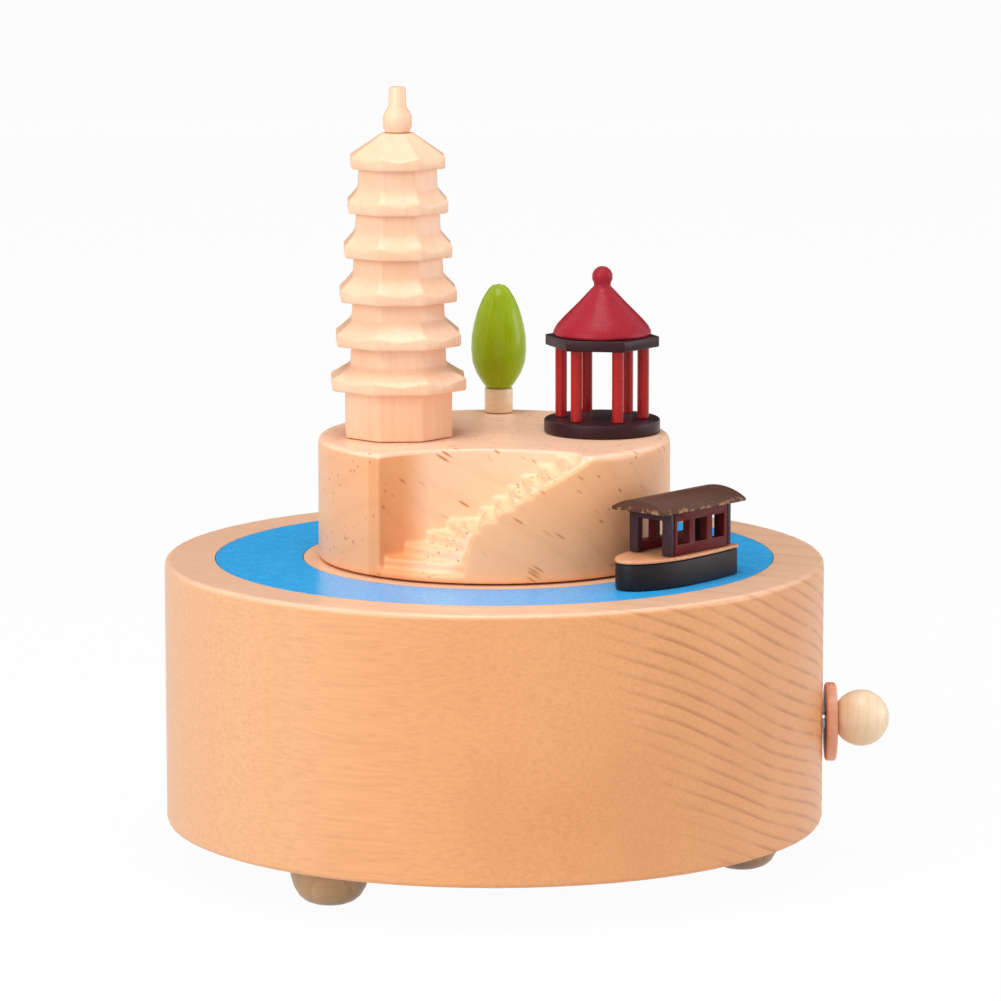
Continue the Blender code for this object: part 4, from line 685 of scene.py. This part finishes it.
# %% Plan of the stairs
island_low, island_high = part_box("island")
island_radius = 0.0293
niche_middle = (-0.0020, -0.0260)
niche_half = (0.0180, 0.0097)
corner_x = -0.0044
stair_corner = (corner_x, -math.sqrt(island_radius ** 2 - corner_x ** 2))
winder_angles = (152.0, 136.0, 120.0, 104.0)
flight_start, flight_length = -0.0026, 0.0174
flight_xs = [flight_start + flight_length * step / 6.0 for step in range(7)]
riser_aim_y = 0.0220
deck_level, first_rise, last_drop = 0.04415, 0.0016, 0.0009
first_tread = deck_level + first_rise
last_tread = island_high.z - last_drop


def wall_point(start, direction):
    """Where a line from the outside meets the niche's elliptical back wall."""
    px, py = ((start[axis] - niche_middle[axis]) / niche_half[axis] for axis in (0, 1))
    dx, dy = (direction[axis] / niche_half[axis] for axis in (0, 1))
    a, b, c = dx * dx + dy * dy, px * dx + py * dy, px * px + py * py - 1.0
    reach = (-b + math.sqrt(b * b - a * c)) / a
    return (start[0] + reach * direction[0], start[1] + reach * direction[1])


risers = []
for angle in winder_angles:
    direction = (math.cos(math.radians(angle)), math.sin(math.radians(angle)))
    risers.append((stair_corner, wall_point(stair_corner, direction)))
for x in flight_xs:
    outer = (x, -math.sqrt(island_radius ** 2 - x * x))
    distance = math.hypot(outer[0], riser_aim_y - outer[1])
    direction = (-outer[0] / distance, (riser_aim_y - outer[1]) / distance)
    risers.append((outer, wall_point(outer, direction)))
tread_levels = [first_tread + (last_tread - first_tread) * step / 10.0 for step in range(11)]
print("risers", len(risers), "first tread at", round(first_tread * 1000.0, 2), "mm")


# %% Block of the island
rim_round = 0.0010
round_sides = 160
near_top = 0.0001
bpy.ops.object.select_all(action="DESELECT")
bpy.ops.mesh.primitive_cylinder_add(vertices=round_sides, radius=island_radius,
                                    depth=island_high.z - island_low.z,
                                    location=(0.0, 0.0, (island_low.z + island_high.z) / 2.0))
island = bpy.context.object
island.name = "carved_island"
bpy.ops.object.transform_apply(location=True, rotation=True, scale=True)
bpy.ops.object.mode_set(mode="EDIT")
bpy.ops.mesh.select_all(action="DESELECT")
bpy.ops.object.mode_set(mode="OBJECT")
for edge in island.data.edges:
    ends = [island.data.vertices[place].co for place in edge.vertices]
    edge.select = all(end.z > island_high.z - near_top for end in ends)
bpy.ops.object.mode_set(mode="EDIT")
bpy.ops.mesh.select_mode(type="EDGE")
bpy.ops.mesh.bevel(offset=rim_round, segments=4, affect="EDGES")
bpy.ops.object.mode_set(mode="OBJECT")
print("block faces", len(island.data.polygons))


# %% Cutting helpers
def prism(name, outline, low, high):
    """A flat-bottomed solid over a plan outline, made from a filled circle and an extrusion."""
    bpy.ops.object.select_all(action="DESELECT")
    bpy.ops.mesh.primitive_circle_add(vertices=len(outline), radius=0.01, fill_type="NGON")
    made = bpy.context.object
    made.name = name
    for vertex, (x, y) in zip(made.data.vertices, outline):
        vertex.co = (x, y, low)
    bpy.ops.object.mode_set(mode="EDIT")
    bpy.ops.mesh.select_all(action="SELECT")
    bpy.ops.mesh.extrude_region_move(TRANSFORM_OT_translate={"value": (0.0, 0.0, high - low)})
    bpy.ops.mesh.select_all(action="SELECT")
    bpy.ops.mesh.normals_make_consistent(inside=False)
    bpy.ops.object.mode_set(mode="OBJECT")
    return made


def cut(piece, tool):
    """Take the tool's shape out of the piece and throw the tool away."""
    bpy.ops.object.select_all(action="DESELECT")
    bpy.context.view_layer.objects.active = piece
    piece.select_set(True)
    difference = piece.modifiers.new("cut", "BOOLEAN")
    difference.operation = "DIFFERENCE"
    difference.solver = "EXACT"
    difference.object = tool
    bpy.ops.object.modifier_apply(modifier=difference.name)
    bpy.data.objects.remove(tool)


# %% Cut the treads
far = 2.0 * island_radius
past_wall = 1.6
arc_start = 0.05
half_turn_points = 24
above_top = 0.01
for step, ((outer, inner), level) in enumerate(zip(risers, tread_levels)):
    end_angle = math.atan2((inner[1] - niche_middle[1]) / niche_half[1],
                           (niche_middle[0] - inner[0]) / niche_half[0])
    count = max(3, round(half_turn_points * end_angle / math.pi))
    outline = []
    for place in range(count):
        angle = arc_start + (end_angle - arc_start) * place / count
        outline.append((niche_middle[0] - niche_half[0] * math.cos(angle),
                        niche_middle[1] + niche_half[1] * math.sin(angle)))
    outline += [inner, outer]
    if step >= len(winder_angles):
        outline.append((past_wall * outer[0], past_wall * outer[1]))
    outline += [(outer[0], -far), (niche_middle[0] - niche_half[0], -far)]
    cut(island, prism("tread_space", outline, level, island_high.z + above_top))
print("cut", len(risers), "treads")

# %% Slope the outer wall along the climb
# The slope lists x and z of the wall's top line from the last stair down to
# the first, closed above it. Only an outer skin of the wall is shaved off, so
# that the treads behind it keep their shape.
outer_skin = 0.0011
shave_back_y, shave_depth = -0.0240, 0.0080
inner_height, inner_middle = 0.06, 0.055
slope = [(0.0160, 0.0642), (0.0146, 0.0633), (0.0118, 0.0618), (0.0087, 0.0603), (0.0060, 0.0588),
         (0.0030, 0.0573), (0.0005, 0.0560), (-0.0018, 0.0548), (-0.0030, 0.0536), (-0.0038, 0.0520),
         (-0.0043, 0.0500), (-0.0060, 0.0470), (-0.0060, 0.0700), (0.0160, 0.0700)]
shave = prism("shave", slope, 0.0, shave_depth)
turn = Matrix.Rotation(math.pi / 2.0, 4, "X")
shave.data.transform(Matrix.Translation((0.0, shave_back_y, 0.0)) @ turn)
bpy.ops.object.select_all(action="DESELECT")
bpy.ops.mesh.primitive_cylinder_add(vertices=round_sides, radius=island_radius - outer_skin,
                                    depth=inner_height, location=(0.0, 0.0, inner_middle))
inner_block = bpy.context.object
bpy.ops.object.transform_apply(location=True, rotation=True, scale=True)
cut(shave, inner_block)
cut(island, shave)
print("outer wall sloped")

# %% Dish the treads
scoop_reach, scoop_width = 0.46, 0.42
scoop_depth, scoop_lift = 0.0010, 0.00015
for step in range(len(winder_angles), len(risers)):
    (outer_a, inner_a), (outer_b, inner_b) = risers[step - 1], risers[step]
    middle = [(outer_a[axis] + inner_a[axis] + outer_b[axis] + inner_b[axis]) / 4.0 for axis in (0, 1)]
    along = Vector(((inner_a[0] + inner_b[0] - outer_a[0] - outer_b[0]) / 2.0,
                    (inner_a[1] + inner_b[1] - outer_a[1] - outer_b[1]) / 2.0, 0.0))
    across = (Vector((*outer_b, 0.0)) - Vector((*outer_a, 0.0))).length
    bpy.ops.object.select_all(action="DESELECT")
    bpy.ops.mesh.primitive_uv_sphere_add(segments=24, ring_count=12, radius=1.0)
    scoop = bpy.context.object
    reach, width = along.length * scoop_reach, across * scoop_width
    scoop.data.transform(Matrix.Diagonal((reach, width, scoop_depth, 1.0)))
    scoop.data.transform(Matrix.Rotation(math.atan2(along.y, along.x), 4, "Z"))
    scoop.data.transform(Matrix.Translation((middle[0], middle[1], tread_levels[step] + scoop_lift)))
    cut(island, scoop)
print("seven treads dished")

# %% Sand the island
sanded_voxel = 0.00030
kept_faces = 0.35
bpy.ops.object.select_all(action="DESELECT")
bpy.context.view_layer.objects.active = island
island.select_set(True)
skin = island.modifiers.new("sanded_skin", "REMESH")
skin.mode = "VOXEL"
skin.voxel_size = sanded_voxel
bpy.ops.object.modifier_apply(modifier=skin.name)
sand = island.modifiers.new("sanding", "SMOOTH")
sand.factor = 0.5
sand.iterations = 5
bpy.ops.object.modifier_apply(modifier=sand.name)
thin = island.modifiers.new("thinned", "DECIMATE")
thin.ratio = kept_faces
bpy.ops.object.modifier_apply(modifier=thin.name)
bpy.ops.object.shade_smooth_by_angle(angle=math.radians(60.0))
island.data.materials.clear()
island.data.materials.append(island_beech)
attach(island, "case")
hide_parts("island")
print("island faces", len(island.data.polygons))
